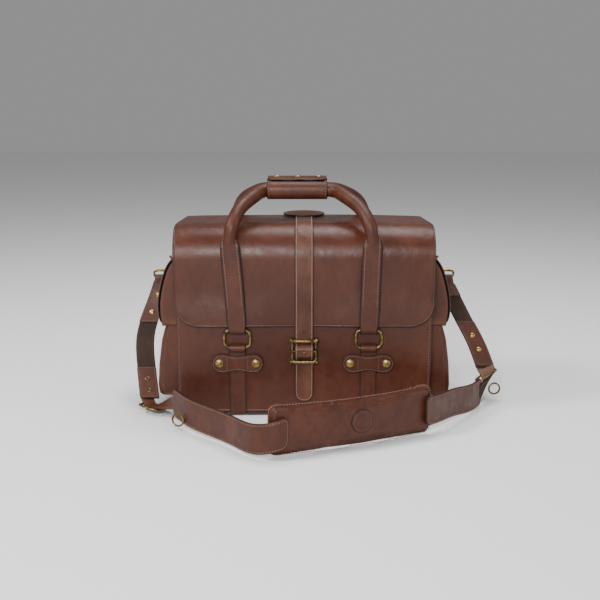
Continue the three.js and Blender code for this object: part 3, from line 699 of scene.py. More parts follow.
def handleRoute():
    left = [(-110, -107.7, 156), (-112.5, -107.7, 190), (-116, -107.7, 235), (-119.6, -107.6, 276),
            (-120.4, -106.6, 301),
            (-114.5, -95.2, 326), (-100.0, -63.7, 349), (-81.5, -34, 361.5), (-66.5, -13.6, 367.4),
            (-50, -11.8, 368)]
    right = [(34, -11.8, 368), (48.5, -13.6, 367.4), (65.5, -34, 361.5), (86.3, -63.7, 349),
             (103.4, -95.2, 326),
             (110.2, -106.6, 301), (110, -107.6, 276), (108.6, -107.7, 235), (107.2, -107.7, 190),
             (106, -107.7, 156)]
    arch = smoothLine([*left, (-9, -11.8, 368.2), *right], 330)
    fold = arcLine(-102.5, 148, 5.2, 380, 180, 34)
    return np.r_[np.c_[np.full(34, -110.0), fold], arch, np.c_[np.full(34, 106.0), fold[::-1]]]


def makeHandle(name, back, body, node):
    path = evenly(handleRoute(), 380)
    z = path[:, 2]
    roll = np.clip((z - handleSize["rollFrom"]) / (handleSize["rollTo"] - handleSize["rollFrom"]), 0, 1)
    roll = roll**2 * (3 - 2 * roll)
    half = np.interp(z, [150, 164], [handleSize["fold"], handleSize["half"]])
    along = unit(np.gradient(path, axis=0))
    foldTurn = unit(np.stack([0 * z, path[:, 1] + 102.5, z - 148], -1))
    wanted = (1 - roll)[:, None] * np.array([0, -1.0, 0]) + roll[:, None] * np.array([0, -0.15, 1.0])
    wanted = np.where((z < 150)[:, None], foldTurn, wanted)
    out = unit(wanted - (wanted * along).sum(-1, keepdims=True) * along)
    side = np.cross(out, along)

    def place(share, spread, rise, turn, sink):
        bar = handleSize["thick"] / 2
        flatA = (half - bar)[:, None] * share + bar * spread
        flatH = bar * rise + 0 * flatA
        radius = handleSize["tube"] - sink
        roundA, roundH = radius * np.sin(math.pi * turn), radius * np.cos(math.pi * turn)
        b = roll[:, None]
        a, h = (1 - b) * flatA + b * roundA, (1 - b) * flatH + b * roundH
        return path[:, None] + side[:, None] * a[..., None] + out[:, None] * h[..., None]

    places = place(sectionShare[None], sectionOut[None], sectionUp[None], sectionTurn[None],
                   sectionSink[None])
    reach = (1 - roll)[:, None] * half[:, None] + roll[:, None] * 33.0
    rims = (1 - np.abs(sectionShare))[None] * reach
    seams = np.exp(-(((rims - 3.3) / 0.75) ** 2)) * (sectionUp[None] > 0.9)
    lines = []
    for sign in (-1, 1):
        share = sign * (1 - 3.3 / np.maximum(reach, 5))
        turn = share * 0.95
        inner = place(share, 0.0, 1.0, turn, 0.0)[:, 0]
        outer = place(share, 0.0, 1.6, turn, -0.8)[:, 0]
        keep = slice(30, -30)
        lines.append((inner[keep], (outer - inner)[keep]))
    if back:
        places = places * np.array([1, -1, 1])
        lines = [(a * np.array([1, -1, 1]), b * np.array([1, -1, 1])) for a, b in lines]
    rows, columns = places.shape[:2]
    ends = [np.arange(columns)[::-1], (rows - 1) * columns + np.arange(columns)]
    handle = makeObject(name, places, gridFaces(rows, columns, closedColumns=True), strapLeather, 
                        {"rim": rims, "seam": seams}, ends, body)
    hideNodes(handle, node)
    for k, (line, up) in enumerate(lines):
        makeStitches(f"{name}Stitches{k}", line, unit(up), boldStitch, darkThread, body)


makeHandle("frontHandle", False, "front_handle", "front_handle")
makeHandle("rearHandle", True, "rear_handle", "rear_handle")
print("handles made")

# The wrap round both handles: a rear half, and a front half whose lip snaps down on top
wrapSize = {"middle": -11.5, "half": 50.5, "thick": 3.0}
rearLine = np.r_[[[0.4, 354.1]], arcLine(11.7, 368, 13.9, -85, 90, 30), [[3.5, 382.0]]]
frontLine = np.r_[[[-0.4, 354.1]], arcLine(-11.7, 368, 13.9, 265, 95, 30),
                  [[-4.5, 382.5], [-1, 384.6], [3, 385.8], [15.5, 385.9]]]
for name, line, body, node, corners in (
        ("wrapRear", rearLine, "rear_handle", "grip_wrap_base", (4, 4)),
        ("wrapCover", frontLine, "wrap_cover", "grip_wrap_cover", (4, 12))):
    surface, length = alongLine(np.c_[np.full(90, wrapSize["middle"]), evenly(line, 90)], (1, 0, 0))
    face = 1 if name == "wrapRear" else -1
    wrap = makeStrip(name, surface, length, wrapSize["half"], wrapSize["thick"], strapLeather,
                     corners=corners,
                     crease={"at": 3.6, "deep": 0.4, "wide": 0.6}, outward=face, step=3.0, body=body)
    hideNodes(wrap, node)
    line, up = insetLine(surface, length, wrapSize["half"], corners, 3.6, 1.5, face)
    makeStitches(name + "Stitches", line, up, boldStitch, darkThread, body)

# The lip's upper leaf, wavy along its front edge, with the snaps through it
def lipSurface(s, a, bare=alongLine(np.c_[np.full(60, -11.5),
                                          evenly([[15.5, 388.7], [4, 388.8], [-4, 388.0], [-15.5, 385.3]],
                                                 60)],
                                    (1, 0, 0))[0]):
    place = bare(s, a)
    place[..., 2] += 0.45 * np.sin(np.asarray(a) / 5.6 + 1.0) * np.clip(np.asarray(s) / 30, 0, 1)
    return place


makeStrip("wrapLip", lipSurface, 31.5, 49.5, 2.2, strapLeather, corners=(4, 9), step=2.0, body="wrap_cover",
                crease={"at": 3.2, "deep": 0.3, "wide": 0.5}, back=fleshLeather)
for name, x in (("left", -46), ("middle", -11), ("right", 24)):
    cap = makeTurned(name + "Snap", (x, 4.5, 389.6), (0, 0, 1), capProfile(6.2, 2.5), rivetBrass,
                     "wrap_cover")
    hideNodes(cap, f"snap_cap_{name}")
print("grip wrap made")

# Bow-tie tabs, their rivets, the rings above them, and the straps that run under the bag
tabSize = {"reach": 43, "height": 32, "waist": 12.0, "thick": 2.4}


# The outline of a tab: two round lobes joined by a waist, the lobes blended in by a cosine
def tabOutline():
    angle = np.linspace(0, 2 * math.pi, 140, endpoint=False)
    x = tabSize["reach"] * np.sign(np.cos(angle)) * np.abs(np.cos(angle)) ** 0.62
    lobe = tabSize["height"] / 2
    near = np.clip(np.abs(x) / 27, 0, 1)
    height = tabSize["waist"] + (lobe - tabSize["waist"]) * (1 - np.cos(math.pi * near)) / 2
    tipStart = tabSize["reach"] - lobe
    over = np.clip((np.abs(x) - tipStart) / lobe, 0, 1)
    height = height * np.sqrt(np.maximum(1 - over**2, 0))
    outline = np.stack([x, np.sign(np.sin(angle)) * height], -1)
    outline[np.abs(np.sin(angle)) < 1e-9, 1] = 0
    return evenly(np.r_[outline, outline[:1]], 141)[:-1]


tabShape = tabOutline()
for name, side in (("left", -1), ("right", 1)):
    x = -2 + 108 * side
    for faceName, face in (("front", 1), ("back", -1)):
        surface = flatSurface((x, -98.75 * face, 90), (1, 0, 0), (0, 0, 1))
        tab = makePlate(f"{faceName}Tab{name}", tabShape, surface, tabSize["thick"], strapLeather,
                        outward=face,
                        crease={"at": 2.6, "deep": 0.35, "wide": 0.5}, body="root")
        hideNodes(tab, f"{faceName}_tab_{name}")
        inner = tabShape * (1 - 2.7 / np.array([tabSize["reach"], 14.0]))
        path = np.c_[x + inner[:, 0], np.full(len(inner), (-98.75 - 1.25) * face), 90 + inner[:, 1]]
        ups = np.tile((0, -face, 0.0), (len(path) + 1, 1))
        makeStitches(f"{faceName}TabStitches{name}", np.r_[path, path[:1]], ups, fineStitch, darkThread,
                     "root")
        for k, shift in enumerate((-17, 17)):
            bar = np.c_[np.full(2, x + shift), np.full(2, -100.0 * face), [79.5, 101.5]]
            makeStitches(f"{faceName}TabBar{name}{k}", bar, ups[:2], fineStitch, darkThread, "root")
        for place, shift in (("outer", side * 30), ("inner", -side * 30)):
            cap = makeTurned(f"{faceName}Rivet{name}{place}", (x + shift, -100.0 * face, 90.5), (0, -face, 0),
                             capProfile(6.5, 3.0), rivetBrass, "root")
            hideNodes(cap, f"{faceName}_rivet_{name}_{place}")
        ring = ringLine((x, -102.5 * face, 132.5), (1, 0, 0), (0, 0, 1), 21.3, 15.5, 3.6)
        body = "front_handle" if face == 1 else "rear_handle"
        tube = makeTube(f"{faceName}Ring{name}", ring, 2.4, agedBrass, (0, 1, 0), closed=True, body=body)
        hideNodes(tube, ("front_ring_" if face == 1 else "rear_ring_") + name)
    run = np.r_[arcLine(-102.5, 117, 4.95, 250, 20, 30)[::1], [[-96.4, 109]], [[-96.35, 60], [-96.35, 5]],
                arcLine(-94.0, 3.7, 2.35, 180, 270, 8)]
    whole = evenly(np.r_[run, (run * np.array([-1, 1]))[::-1]], 300)
    surface, length = alongLine(np.c_[np.full(300, x), whole], (1, 0, 0))
    strap = makeStrip(f"baseStrap{name}", surface, length, 13.5, 2.1, strapLeather, outward=1,
                      crease={"at": 2.6, "deep": 0.25, "wide": 0.45}, body="root", step=3.0)
    hideNodes(strap, f"{name}_base_strap")
print("tabs, rings and base straps made")

# The closure buckle: a waisted frame with flared corners, its middle bar and peg, and the loose roller
buckleSize = {"middle": 112, "half": 20.2, "height": 18.3, "wire": 2.1, "y": -104.4}
frameLine = ringLine((0, buckleSize["y"], buckleSize["middle"]), (1, 0, 0), (0, 0, 1), buckleSize["half"],
                     buckleSize["height"], 7.0, 120)
above = (frameLine[:, 2] - buckleSize["middle"]) / buckleSize["height"]
frameLine[:, 0] *= 0.93 + 0.10 * np.abs(above) ** 2.2
thickness = np.where((above > 0.9) & (np.abs(frameLine[:, 0]) < 17), 1.9,
                     buckleSize["wire"] + 0.5 * np.abs(above) ** 4)
thickness = thickness + 0.55 * (above < -0.9)
buckle = makeTube("closureBuckle", frameLine, thickness, agedBrass, (0, 1, 0), closed=True, sides=20,
                  flat=0.85, body="root")
hideNodes(buckle, "closure_buckle")
bar = np.c_[np.linspace(-18.6, 18.6, 40), np.full(40, buckleSize["y"]), np.full(40, 112.0)]
makeTube("buckleBar", bar, 1.5 + 0.5 * np.abs(np.linspace(-1, 1, 40)) ** 6, agedBrass, (0, 1, 0), body="root")
for k, (x, z) in enumerate(((-20.6, 93.6), (20.6, 93.6), (-20.6, 130.4), (20.6, 130.4))):
    turn = np.linspace(-math.pi / 2, math.pi / 2, 15)
    ball = np.stack([3.1 * np.cos(turn) + 0.01, 2.9 * np.sin(turn)], -1)
    makeTurned(f"buckleCorner{k}", (x, buckleSize["y"], z), (0, 1, 0), ball, agedBrass, "root", sides=24)
peg = np.array([[0.02, 0], [1.5, 0], [1.5, 7.6], [1.2, 8.4], [0.6, 8.8], [0.02, 8.9]])
makeTurned("bucklePeg", (0, -105.2, 112), (0, -1, 0), peg, agedBrass, "root")
roller = np.array([[2.6, -16.4], [3.2, -16.4], [3.45, -16.0], [3.45, -5], [3.4, 0], [3.45, 5], [3.45, 16.0],
                   [3.2, 16.4],
                   [2.6, 16.4]])
rollerTurn = makeTurned("closureRoller", (0, buckleSize["y"], 129), (1, 0, 0), roller, agedBrass,
                        "closure_roller")
hideNodes(rollerTurn, "closure_roller")
chapeLine = np.r_[[[-96.3, 66], [-96.3, 97]], smoothLine([(-97.2, 103), (-101.6, 108.0)], 6),
                  arcLine(-104.4, 112, 3.4, -40, 220, 30)]
surface, length = alongLine(np.c_[np.zeros(120), evenly(chapeLine, 120)], (1, 0, 0))
chape = makeStrip("closureChape", surface, length, 14.5, 1.6, strapLeather, outward=-1, body="root", step=2.5)
hideNodes(chape, "closure_chape")
print("closure buckle made")

# The body: base board, two faces, two end walls and the divider, each a stiff leather sheet with rounded
# edges


def grooves(s, a):
    near = np.minimum(np.abs(s - 210 + 110), np.abs(s - 210 - 106))
    return 2.7 / (1 + np.exp((near - 13.9) / 0.15))


surface = flatSurface((-210, 0, 2.5), (1, 0, 0), (0, 1, 0))
base = makeStrip("baseBoard", surface, 420, 95, 5.0, bodyLeather, corners=(5, 5), under=grooves, body="root",
                 step=2.2)
hideNodes(base, "base_panel")
for name, y, height, face, node in (("front", -93.25, 253.7, -1, "front_panel"),
                                    ("back", 93.25, 262.5, 1, "back_panel")):
    surface = flatSurface((0, y, 5.3), (0, 0, 1), (1, 0, 0))
    panel = makeStrip(f"{name}Panel", surface, height, 210, 3.5, bodyLeather, corners=(9, 9), outward=face,
                      crease={"at": 4.2, "deep": 0.5, "wide": 0.6}, body="root",
                      back=liningLeather)
    hideNodes(panel, node)
    for part in ("left", "right", "start"):
        line, up = insetLine(surface, height, 210, (9, 9), 4.2, 1.6, face, part)
        if part == "start":
            line = np.c_[np.linspace(-200, 200, 60), np.full(60, y + face * 1.6), np.full(60, 9.5)]
            up = np.tile((0.0, face, 0.0), (60, 1))
        makeStitches(f"{name}Seam{part}", line, up, boldStitch, darkThread, "root")
print("faces made")


# An end wall's front and back edges at each height: straight, then round inside the flap's shoulder and fold
def wallEdges(z):
    front = np.where(z > 263, -44 - np.sqrt(np.maximum(48**2 - (z - 263) ** 2, 30)), -92)
    back = np.where(z > 273, 52 + np.sqrt(np.maximum(37**2 - (z - 273) ** 2, 30)), 89)
    return np.maximum(front, -91.2), np.minimum(back, 91.2)


for name, side in (("left", -1), ("right", 1)):
    def wallSurface(s, a, side=side):
        front, back = wallEdges(s + 5.3)
        return np.stack([np.full(np.shape(s), side * 197.95), (front + back) / 2 + a, s + 5.3], -1)

    def wallHalf(s):
        front, back = wallEdges(s + 5.3)
        return (back - front) / 2

    wall = makeStrip(f"{name}Wall", wallSurface, 303.5, wallHalf, 3.5, bodyLeather, corners=(8, 3),
                     outward=-side,
                     crease={"at": 4.2, "deep": 0.45, "wide": 0.6}, body="root",
                     back=liningLeather)
    hideNodes(wall, f"{name}_gusset")
surface = flatSurface((0, 15, 5.3), (0, 0, 1), (1, 0, 0))
divider = makeStrip("divider", surface, 230.7, 195.9, 2.0, liningLeather, corners=(2, 14), body="root",
                    crease={"at": 4.0, "deep": 0.3, "wide": 0.6})
hideNodes(divider, "inner_divider")

# Side pockets: a wall bent round three sides, with the reach changing by height, and a floor
pocketPath = np.r_[[[0.3, -63.7], [30, -63.7]], arcLine(33.7, -55.7, 8, -90, 0, 12),
                   arcLine(33.7, 55.7, 8, 0, 90, 12),
                   [[30, 63.7], [0.3, 63.7]]]
pocketPath = evenly(pocketPath, 200)
for name, side in (("left", -1), ("right", 1)):
    bare, pocketLength = alongLine(np.c_[pocketPath, np.zeros(200)], (0, 0, 1))

    def pocketSurface(s, a, side=side, bare=bare):
        place = bare(s, a)
        z = a + 121
        reach = np.interp(z, [26, 31, 42, 80, 120, 158, 190, 216],
                          [40.5, 44.0, 45.5, 43.5, 38.3, 28.0, 18.6, 11.0])
        return np.stack([side * (200 + place[..., 0] * reach / 41.7), place[..., 1], z], -1)

    pocket = makeStrip(f"{name}Pocket", pocketSurface, pocketLength, 95, 2.6, bodyLeather, outward=side,
                       crease={"at": 3.4, "deep": 0.4, "wide": 0.6}, body="root",
                       back=liningLeather)
    hideNodes(pocket, f"{name}_pocket")
    for k, part in enumerate(("left", "right")):
        line, up = insetLine(pocketSurface, pocketLength, 95, (0, 0), 3.4, 1.3, side, part)
        makeStitches(f"{name}PocketSeam{k}", line, up, fineStitch, darkThread, "root")
    for k, corner in enumerate((33.5, pocketLength - 33.5)):
        z = np.linspace(-90, 90, 90)
        line = pocketSurface(np.full(90, corner), z)
        up = facing(pocketSurface, np.full(90, corner), z) * side
        makeStitches(f"{name}PocketCorner{k}", line + up * 1.35, up, fineStitch, darkThread, "root")
    floor = makeStrip(f"{name}PocketFloor", flatSurface((side * 201.5, 0, 27.6), (side, 0, 0), (0, 1, 0)),
                      37, 61, 2.4,
                      bodyLeather, body="root")
    flapPath = smoothLine([(201.8, 261), (215, 260), (225, 250), (234, 228), (240.5, 200), (242.5, 174),
                           (239.2, 147)], 160)
    surface, length = alongLine(np.c_[side * flapPath[:, 0], np.zeros(160), flapPath[:, 1]], (0, 1, 0))
    body = f"{name}_pocket_flap"
    cover = makeStrip(f"{name}PocketCover", surface, length, 68, 2.6, bodyLeather, corners=(6, 24),
                      outward=side,
                      crease={"at": 3.4, "deep": 0.45, "wide": 0.6}, body=body,
                      back=liningLeather)
    hideNodes(cover, f"{name}_pocket_flap")
    line, up = insetLine(surface, length, 68, (6, 24), 3.4, 1.35, side, "end")
    makeStitches(f"{name}CoverStitches", line, up, fineStitch, darkThread, body)
    inner = np.c_[flapPath[:, 0] - 2.2, flapPath[:, 1] - 1.0]
    web = np.r_[inner, [[231, 147], [201.5, 147], [201.5, 225]]]
    for end, y in (("Front", -66.4), ("Rear", 66.4)):
        makePlate(f"{name}PocketGore{end}", evenly(np.r_[web, web[:1]], 161)[:-1] * np.array([side, 1]),
                  flatSurface((0, y, 0), (1, 0, 0), (0, 0, 1)), 1.4, bodyLeather, body=body)
print("pockets made")

# Rings on the end walls and the snap hooks that hang from them
hookSize = {"bar": (204.9, 78, 246), "eye": (251, 78, 209), "wire": 2.0}
drop = unit(np.array([0.5, 0, -0.87]))
for name, side in (("left", -1), ("right", 1)):
    turn = np.array([side, 1, 1])
    bar, eye = np.array(hookSize["bar"]), np.array(hookSize["eye"])
    far = bar + drop * 18
    reach = unit(eye - far)
    normal = np.array([-reach[2], 0, reach[0]])
    ring = ringLine(bar + drop * 9, (0, 1, 0), drop, 11, 9, 4.0) * turn
    sideRing = makeTube(f"{name}SideRing", ring, 2.0, agedBrass, np.cross((0, 1, 0), drop) * turn,
                        closed=True, body="root")
    hideNodes(sideRing, f"{name}_side_ring")
    middle = far + reach * 2.2
    angle = np.radians(np.linspace(-8, 322, 60))
    bend = middle + np.outer(np.cos(angle) * 7.5, reach) + np.outer(np.sin(angle) * 7.5, normal)
    loop = makeTube(f"{name}HookLoop", bend * turn, np.interp(angle, [0, 3, 5.6], [3.0, 2.2, 1.7]),
                    agedBrass, (0, 1, 0),
                    body="root")
    hideNodes(loop, f"{name}_snap_hook")
    barrel = np.array([[0.02, 0], [2.6, 0], [3.4, 0.8], [3.4, 5], [3.0, 6], [3.0, 7], [3.7, 7.6],
                       [3.7, 9.6], [2.6, 10.6],
                       [2.4, 13.5], [4.2, 14.3], [4.2, 16.2], [3.0, 17.2], [0.02, 17.4]])
    makeTurned(f"{name}HookBarrel", (middle + reach * 6) * turn, reach * turn, barrel, agedBrass, "root")
    eyeLine = ringLine(eye, (1, 0, 0), (0, 0, 1), 16, 6, 4.0) * turn
    makeTube(f"{name}HookEye", eyeLine, 2.0, agedBrass, (0, 1, 0), closed=True, body="root")
    foot = middle + reach * 14
    lever = smoothLine([foot + (0, 0, 4.9), foot + (5, 0, 10.5), foot + (11, 0, 19.2)], 30) * turn
    leverTube = makeTube(f"{name}HookLever", lever, np.linspace(1.6, 2.3, 30), agedBrass, (0, 1, 0), flat=1.1,
                         body=f"{name}_hook_lever")
    hideNodes(leverTube, f"{name}_hook_lever")
    chapeRun = np.r_[[[200.8, 272], [200.8, 252]], arcLine(204.9, 246, 3.9, 130, -90, 24)]
    surface, length = alongLine(np.c_[side * evenly(chapeRun, 70)[:, 0], np.full(70, 78),
                                      evenly(chapeRun, 70)[:, 1]], (0, 1, 0))
    ringChape = makeStrip(f"{name}RingChape", surface, length, 6, 1.6, strapLeather, corners=(5, 0),
                          outward=side,
                          body="root", step=1.5)
    hideNodes(ringChape, f"{name}_ring_chape")
print("hooks made")

# The narrow leathers from the hooks to the strap buckles, with the doubled ends riveted over them
legSize = {"half": 16, "thick": 3.2, "chape": 1.8}
legs = {
    "left": [(-251, 78, 197.5), (-259, 74, 173), (-270, 60, 143), (-278, 35, 113), (-272, -20, 66),
             (-265, -50, 36),
             (-261, -66, 20)],
    "right": [(253, 78, 191.5), (264, 72, 170), (289, 50, 121), (303, 34, 94), (315, 14, 62), (318, 8, 53)],
}


def offsetSurface(surface, rise):
    return lambda s, a: surface(s, a) + facing(surface, s, a, 1.5) * rise


def partOf(surface, start):
    return lambda s, a: surface(s + start, a)


# A domed rivet standing on a strip at a length and width
def rivetOn(name, surface, s, a, rise, radius, height, material, body, outward=1):
    s, a = np.array([float(s)]), np.array([float(a)])
    up = facing(surface, s, a)[0] * outward
    return makeTurned(name, surface(s, a)[0] + up * rise, up, capProfile(radius, height), material, body)


# A pressed metal eyelet: a ring lying on a strip
def eyeletOn(name, surface, s, a, rise, radius, body):
    s, a = np.array([float(s)]), np.array([float(a)])
    up = facing(surface, s, a)[0]
    profile = [[radius * 0.45, -0.3], [radius * 0.5, 0.5], [radius * 0.72, 0.9], [radius * 0.95, 0.5],
               [radius, 0.0],
               [radius * 0.9, -0.4]]
    return makeTurned(name, surface(s, a)[0] + up * rise, up, profile, agedBrass, body)


chapes = {
    "left": [(0.0, 84, strapLeather, [(28, 0), (62, 0)], []),
             (178, 90, strapLeather, [], [(24, 0), (46, 0)])],
    "right": [(0.0, 26, strapLeather, [], []), (76, 90, strapLeather, [(30, 0), (58, 0)], [])],
}
for name in legs:
    line = smoothLine(legs[name], 160)
    surface, length = alongLine(line, (1, 0, 0))
    leg = makeStrip(f"{name}Leg", surface, length, legSize["half"], legSize["thick"], fleshLeather,
                    body="shoulder_strap",
                    step=2.5)
    hideNodes(leg, f"{name}_leg_strap")
    for k, (start, run, material, rivets, eyelets) in enumerate(chapes[name]):
        run = min(run, length - start)
        cover = offsetSurface(partOf(surface, start), 2.5)
        makeStrip(f"{name}LegChape{k}", cover, run, legSize["half"] + 0.6, legSize["chape"], material,
                  corners=(3, 3), crease={"at": 2.8, "deep": 0.3, "wide": 0.45}, body="shoulder_strap",
                  step=2.5)
        stitchLine, up = insetLine(cover, run, legSize["half"] + 0.6, (3, 3), 2.8, 1.0)
        makeStitches(f"{name}LegStitches{k}", stitchLine, up, fineStitch, darkThread, "shoulder_strap")
        for m, (s, a) in enumerate(rivets):
            rivetOn(f"{name}LegRivet{k}{m}", cover, s, a, 0.8, 4.6, 2.6, rivetBrass, "shoulder_strap")
        for m, (s, a) in enumerate(eyelets):
            eyeletOn(f"{name}LegEyelet{k}{m}", cover, s, a, 0.9, 4.4, "shoulder_strap")
for name, side in (("left", -1), ("right", 1)):
    loop = [(75.2, 186), (74.6, 195), (74.0, 203)] + arcLine(78, 203.2, 4.0, 165, 15,
                                                             9).tolist() + [(81.8, 195), (80.4, 186)]
    loop = smoothLine(loop, 80)
    x = side * np.interp(loop[:, 1], [186, 207], [255.0 if side < 0 else 255.8, 251.0])
    surface, length = alongLine(np.c_[x, loop], (1, 0, 0))
    makeStrip(f"{name}EyeLoop", surface, length, 13.6, 1.6, strapLeather, outward=-1, body="shoulder_strap",
              step=2.0)
print("leg straps made")

# Strap buckles with their prongs, and the short leathers that twist from them to the wide straps
strapBuckles = {
    "left": ((-254, -83, 11), (0.8, -0.55, -0.1), (0.66, 0.95, -0.15), 20, 15),
    "right": ((318, 0, 43), (0.8, 0.2, 0.5), (-0.15, 0.9, -0.12), 18.3, 13.1),
}
for name, (centre, across, upward, halfWidth, halfHeight) in strapBuckles.items():
    line = ringLine(centre, across, upward, halfWidth, halfHeight, 5.0)
    normal = np.cross(across, upward)
    tube = makeTube(f"{name}StrapBuckle", line, 2.4, agedBrass, normal, closed=True, body="shoulder_strap",
                    flat=0.8)
    hideNodes(tube, f"{name}_strap_buckle")
    start = np.array(centre) + unit(np.array(upward, float)) * halfHeight
    end = np.array(centre) - unit(np.array(upward, float)) * (halfHeight + 1.5)
    prong = smoothLine([start, (start + end) / 2 - unit(normal) * 3.4, end - unit(normal) * 2.6], 30)
    makeTube(f"{name}BuckleProng", prong, np.linspace(1.9, 1.3, 30), agedBrass, across, body="shoulder_strap")
twists = {
    "left": ([(-266, -62, 21), (-258, -78, 12.5), (-249, -88, 14.5), (-236, -104, 21), (-222, -124, 29),
              (-211, -141, 35)],
             [(0.9, 0.2, -0.1), (0.9, 0, 0.0), (0.85, 0, 0.35), (0.5, 0, 0.7), (0.2, 0, 1), (0, 0, 1)], 11,
             strapLeather),
    "right": ([(317, 12, 56), (321, 0, 49), (321, -14, 42), (316, -26, 35), (308, -38, 30), (299, -52, 28)],
              [(1, 0.1, 0.35), (0.9, 0.1, 0.6), (0.6, 0.3, 0.9), (0.3, 0.2, 1), (0.1, 0.1, 1), (0, 0, 1)],
              14.5, tanLeather),
}
for name, (points, sides, half, material) in twists.items():
    line = smoothLine(points, 120)
    spread = evenly(np.array(sides, float), 120)
    surface, length = alongLine(line, spread)
    makeStrip(f"{name}Twist", surface, length, half, 2.4, material, corners=(0, 8), body="shoulder_strap",
              step=2.0,
              back=fleshLeather)
print("strap buckles made")

# The wide straps stand on their edge in front of the bag
wideStraps = {
    "left": [(-213, -138, 37), (-187, -180, 33), (-151, -219, 30), (-108, -268, 29), (-62, -315.5, 32),
             (-34, -316.5, 39),
             (-24, -309, 42)],
    "right": [(190.5, -211.7, 42), (215, -178, 38), (245, -133, 34), (281, -82, 27), (303, -40, 27)],
}
for name, points in wideStraps.items():
    surface, length = alongLine(smoothLine(points, 200), (0, 0, 1))
    half = 24
    wide = makeStrip(f"{name}Wide", surface, length, half, 3.4, strapLeather, corners=(12, 12), outward=1,
                     step=3.5,
                     crease={"at": 3.6, "deep": 0.4, "wide": 0.55}, body="shoulder_strap",
                     back=fleshLeather, crown=0.4)
    hideNodes(wide, f"{name}_wide_strap")
    line, up = insetLine(surface, length, half, (12, 12), 3.6, 1.7)
    makeStitches(f"{name}WideStitches", line, up, boldStitch, darkThread, "shoulder_strap")
for name, centre, across in (("left", (-202, -176, 17), (0.95, -0.3, 0)),
                             ("right", (332, -8, 21), (1, 0.1, 0))):
    line = ringLine(centre, across, (0, 0, 1), 9.5, 9.5, 2.0)
    tube = makeTube(f"{name}SpareRing", line, 1.6, agedBrass, np.cross(across, (0, 0, 1)), closed=True,
                    body=f"{name}_accessory_ring")
    hideNodes(tube, f"{name}_accessory_ring")
print("wide straps made")

# The shoulder pad: a bowed block filled by cloth pressure, then edge stitching laid on its face
padSize = {"from": (-58, -307), "to": (199, -187), "bow": 14, "height": 84, "thick": 8.4, "corner": 15,
           "cap": 5.0,
           "voxel": 0.004, "flange": 6.0, "pinch": 0.42}
share = np.linspace(0, 1, 60)[:, None]
padRun = np.array(padSize["to"], float) - np.array(padSize["from"], float)
padRun = padRun / np.linalg.norm(padRun)
padBow = np.array([padRun[1], -padRun[0]]) * padSize["bow"] * np.sin(math.pi * share)
padLine = np.array(padSize["from"]) + padRun * 283.6 * share + padBow
padSurface, padLength = alongLine(np.c_[padLine, np.full(60, padSize["height"] / 2 + 0.4)], (0, 0, 1))
padHalf = padSize["height"] / 2 - 0.3
pad = makeStrip("shoulderPad", padSurface, padLength, padHalf, padSize["thick"], strapLeather,
                corners=(padSize["corner"], padSize["corner"]), body=None, step=4.0)


# Fills the pad: remesh, cloth with air pressure inside, limited movement, one subdivision
def fillPad(thing):
    remesh = thing.modifiers.new("remesh", "REMESH")
    remesh.mode = "VOXEL"
    remesh.voxel_size = padSize["voxel"]
    applyModifiers(thing)
    start = np.zeros(len(thing.data.vertices) * 3)
    thing.data.vertices.foreach_get("co", start)
    cloth = thing.modifiers.new("cloth", "CLOTH")
    cloth.settings.use_pressure = True
    cloth.settings.uniform_pressure_force = 4.0
    cloth.settings.effector_weights.gravity = 0.0
    cloth.settings.quality = 6
    for frameNumber in range(1, 21):
        bpy.context.scene.frame_set(frameNumber)
    applyModifiers(thing)
    moved = np.zeros(len(start))
    thing.data.vertices.foreach_get("co", moved)
    start, moved = start.reshape(-1, 3), moved.reshape(-1, 3)
    shift = moved - start
    far = np.linalg.norm(shift, axis=1, keepdims=True)
    limit = padSize["cap"] * 0.001
    shift = shift * np.minimum(1.0, limit / np.maximum(far, 1e-9))
    thing.data.vertices.foreach_set("co", (start + shift).ravel())
    bpy.context.scene.frame_set(1)
    smooth = thing.modifiers.new("smooth", "SUBSURF")
    smooth.levels = smooth.render_levels = 1
    applyModifiers(thing)
    thing.data.polygons.foreach_set("use_smooth", np.ones(len(thing.data.polygons), bool))
    thing.data.update()


def applyModifiers(thing):
    graph = bpy.context.evaluated_depsgraph_get()
    made = bpy.data.meshes.new_from_object(thing.evaluated_get(graph))
    thing.modifiers.clear()
    thing.data = made


# Presses the pad's border flat, so a padded middle stands out of a stitched flange, and marks the distance
# to the rim
def pressFlange(thing):
    flat = np.zeros(len(thing.data.vertices) * 3)
    thing.data.vertices.foreach_get("co", flat)
    place = flat.reshape(-1, 3) * 1000
    s = (place[:, :2] - np.array(padSize["from"])) @ padRun * padLength / 283.6
    a = place[:, 2] - padSize["height"] / 2 - 0.4
    middle, up = padSurface(s, a), facing(padSurface, s, a)
    off = np.einsum("ij,ij->i", place - middle, up)
    corners = (padSize["corner"], padSize["corner"])
    rim = rimDistance(s, a, padLength, lambda v: np.full(np.shape(v), padHalf), corners)
    share = np.clip((rim - padSize["flange"]) / 5.0, 0, 1)
    keep = padSize["pinch"] + (1 - padSize["pinch"]) * share**2 * (3 - 2 * share)
    place = place + up * (off * (keep - 1))[:, None]
    thing.data.vertices.foreach_set("co", (place * 0.001).ravel())
    for key, values in (("rim", rim + 0.6), ("seam", np.exp(-(((rim - 3.6) / 0.8) ** 2)))):
        old = thing.data.attributes.get(key)
        if old is not None:
            thing.data.attributes.remove(old)
        thing.data.attributes.new(key, "FLOAT", "POINT").data.foreach_set("value", values.astype(np.float32))
    thing.data.update()


fillPad(pad)
pressFlange(pad)
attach(pad, "shoulder_strap")
hideNodes(pad, "shoulder_pad")


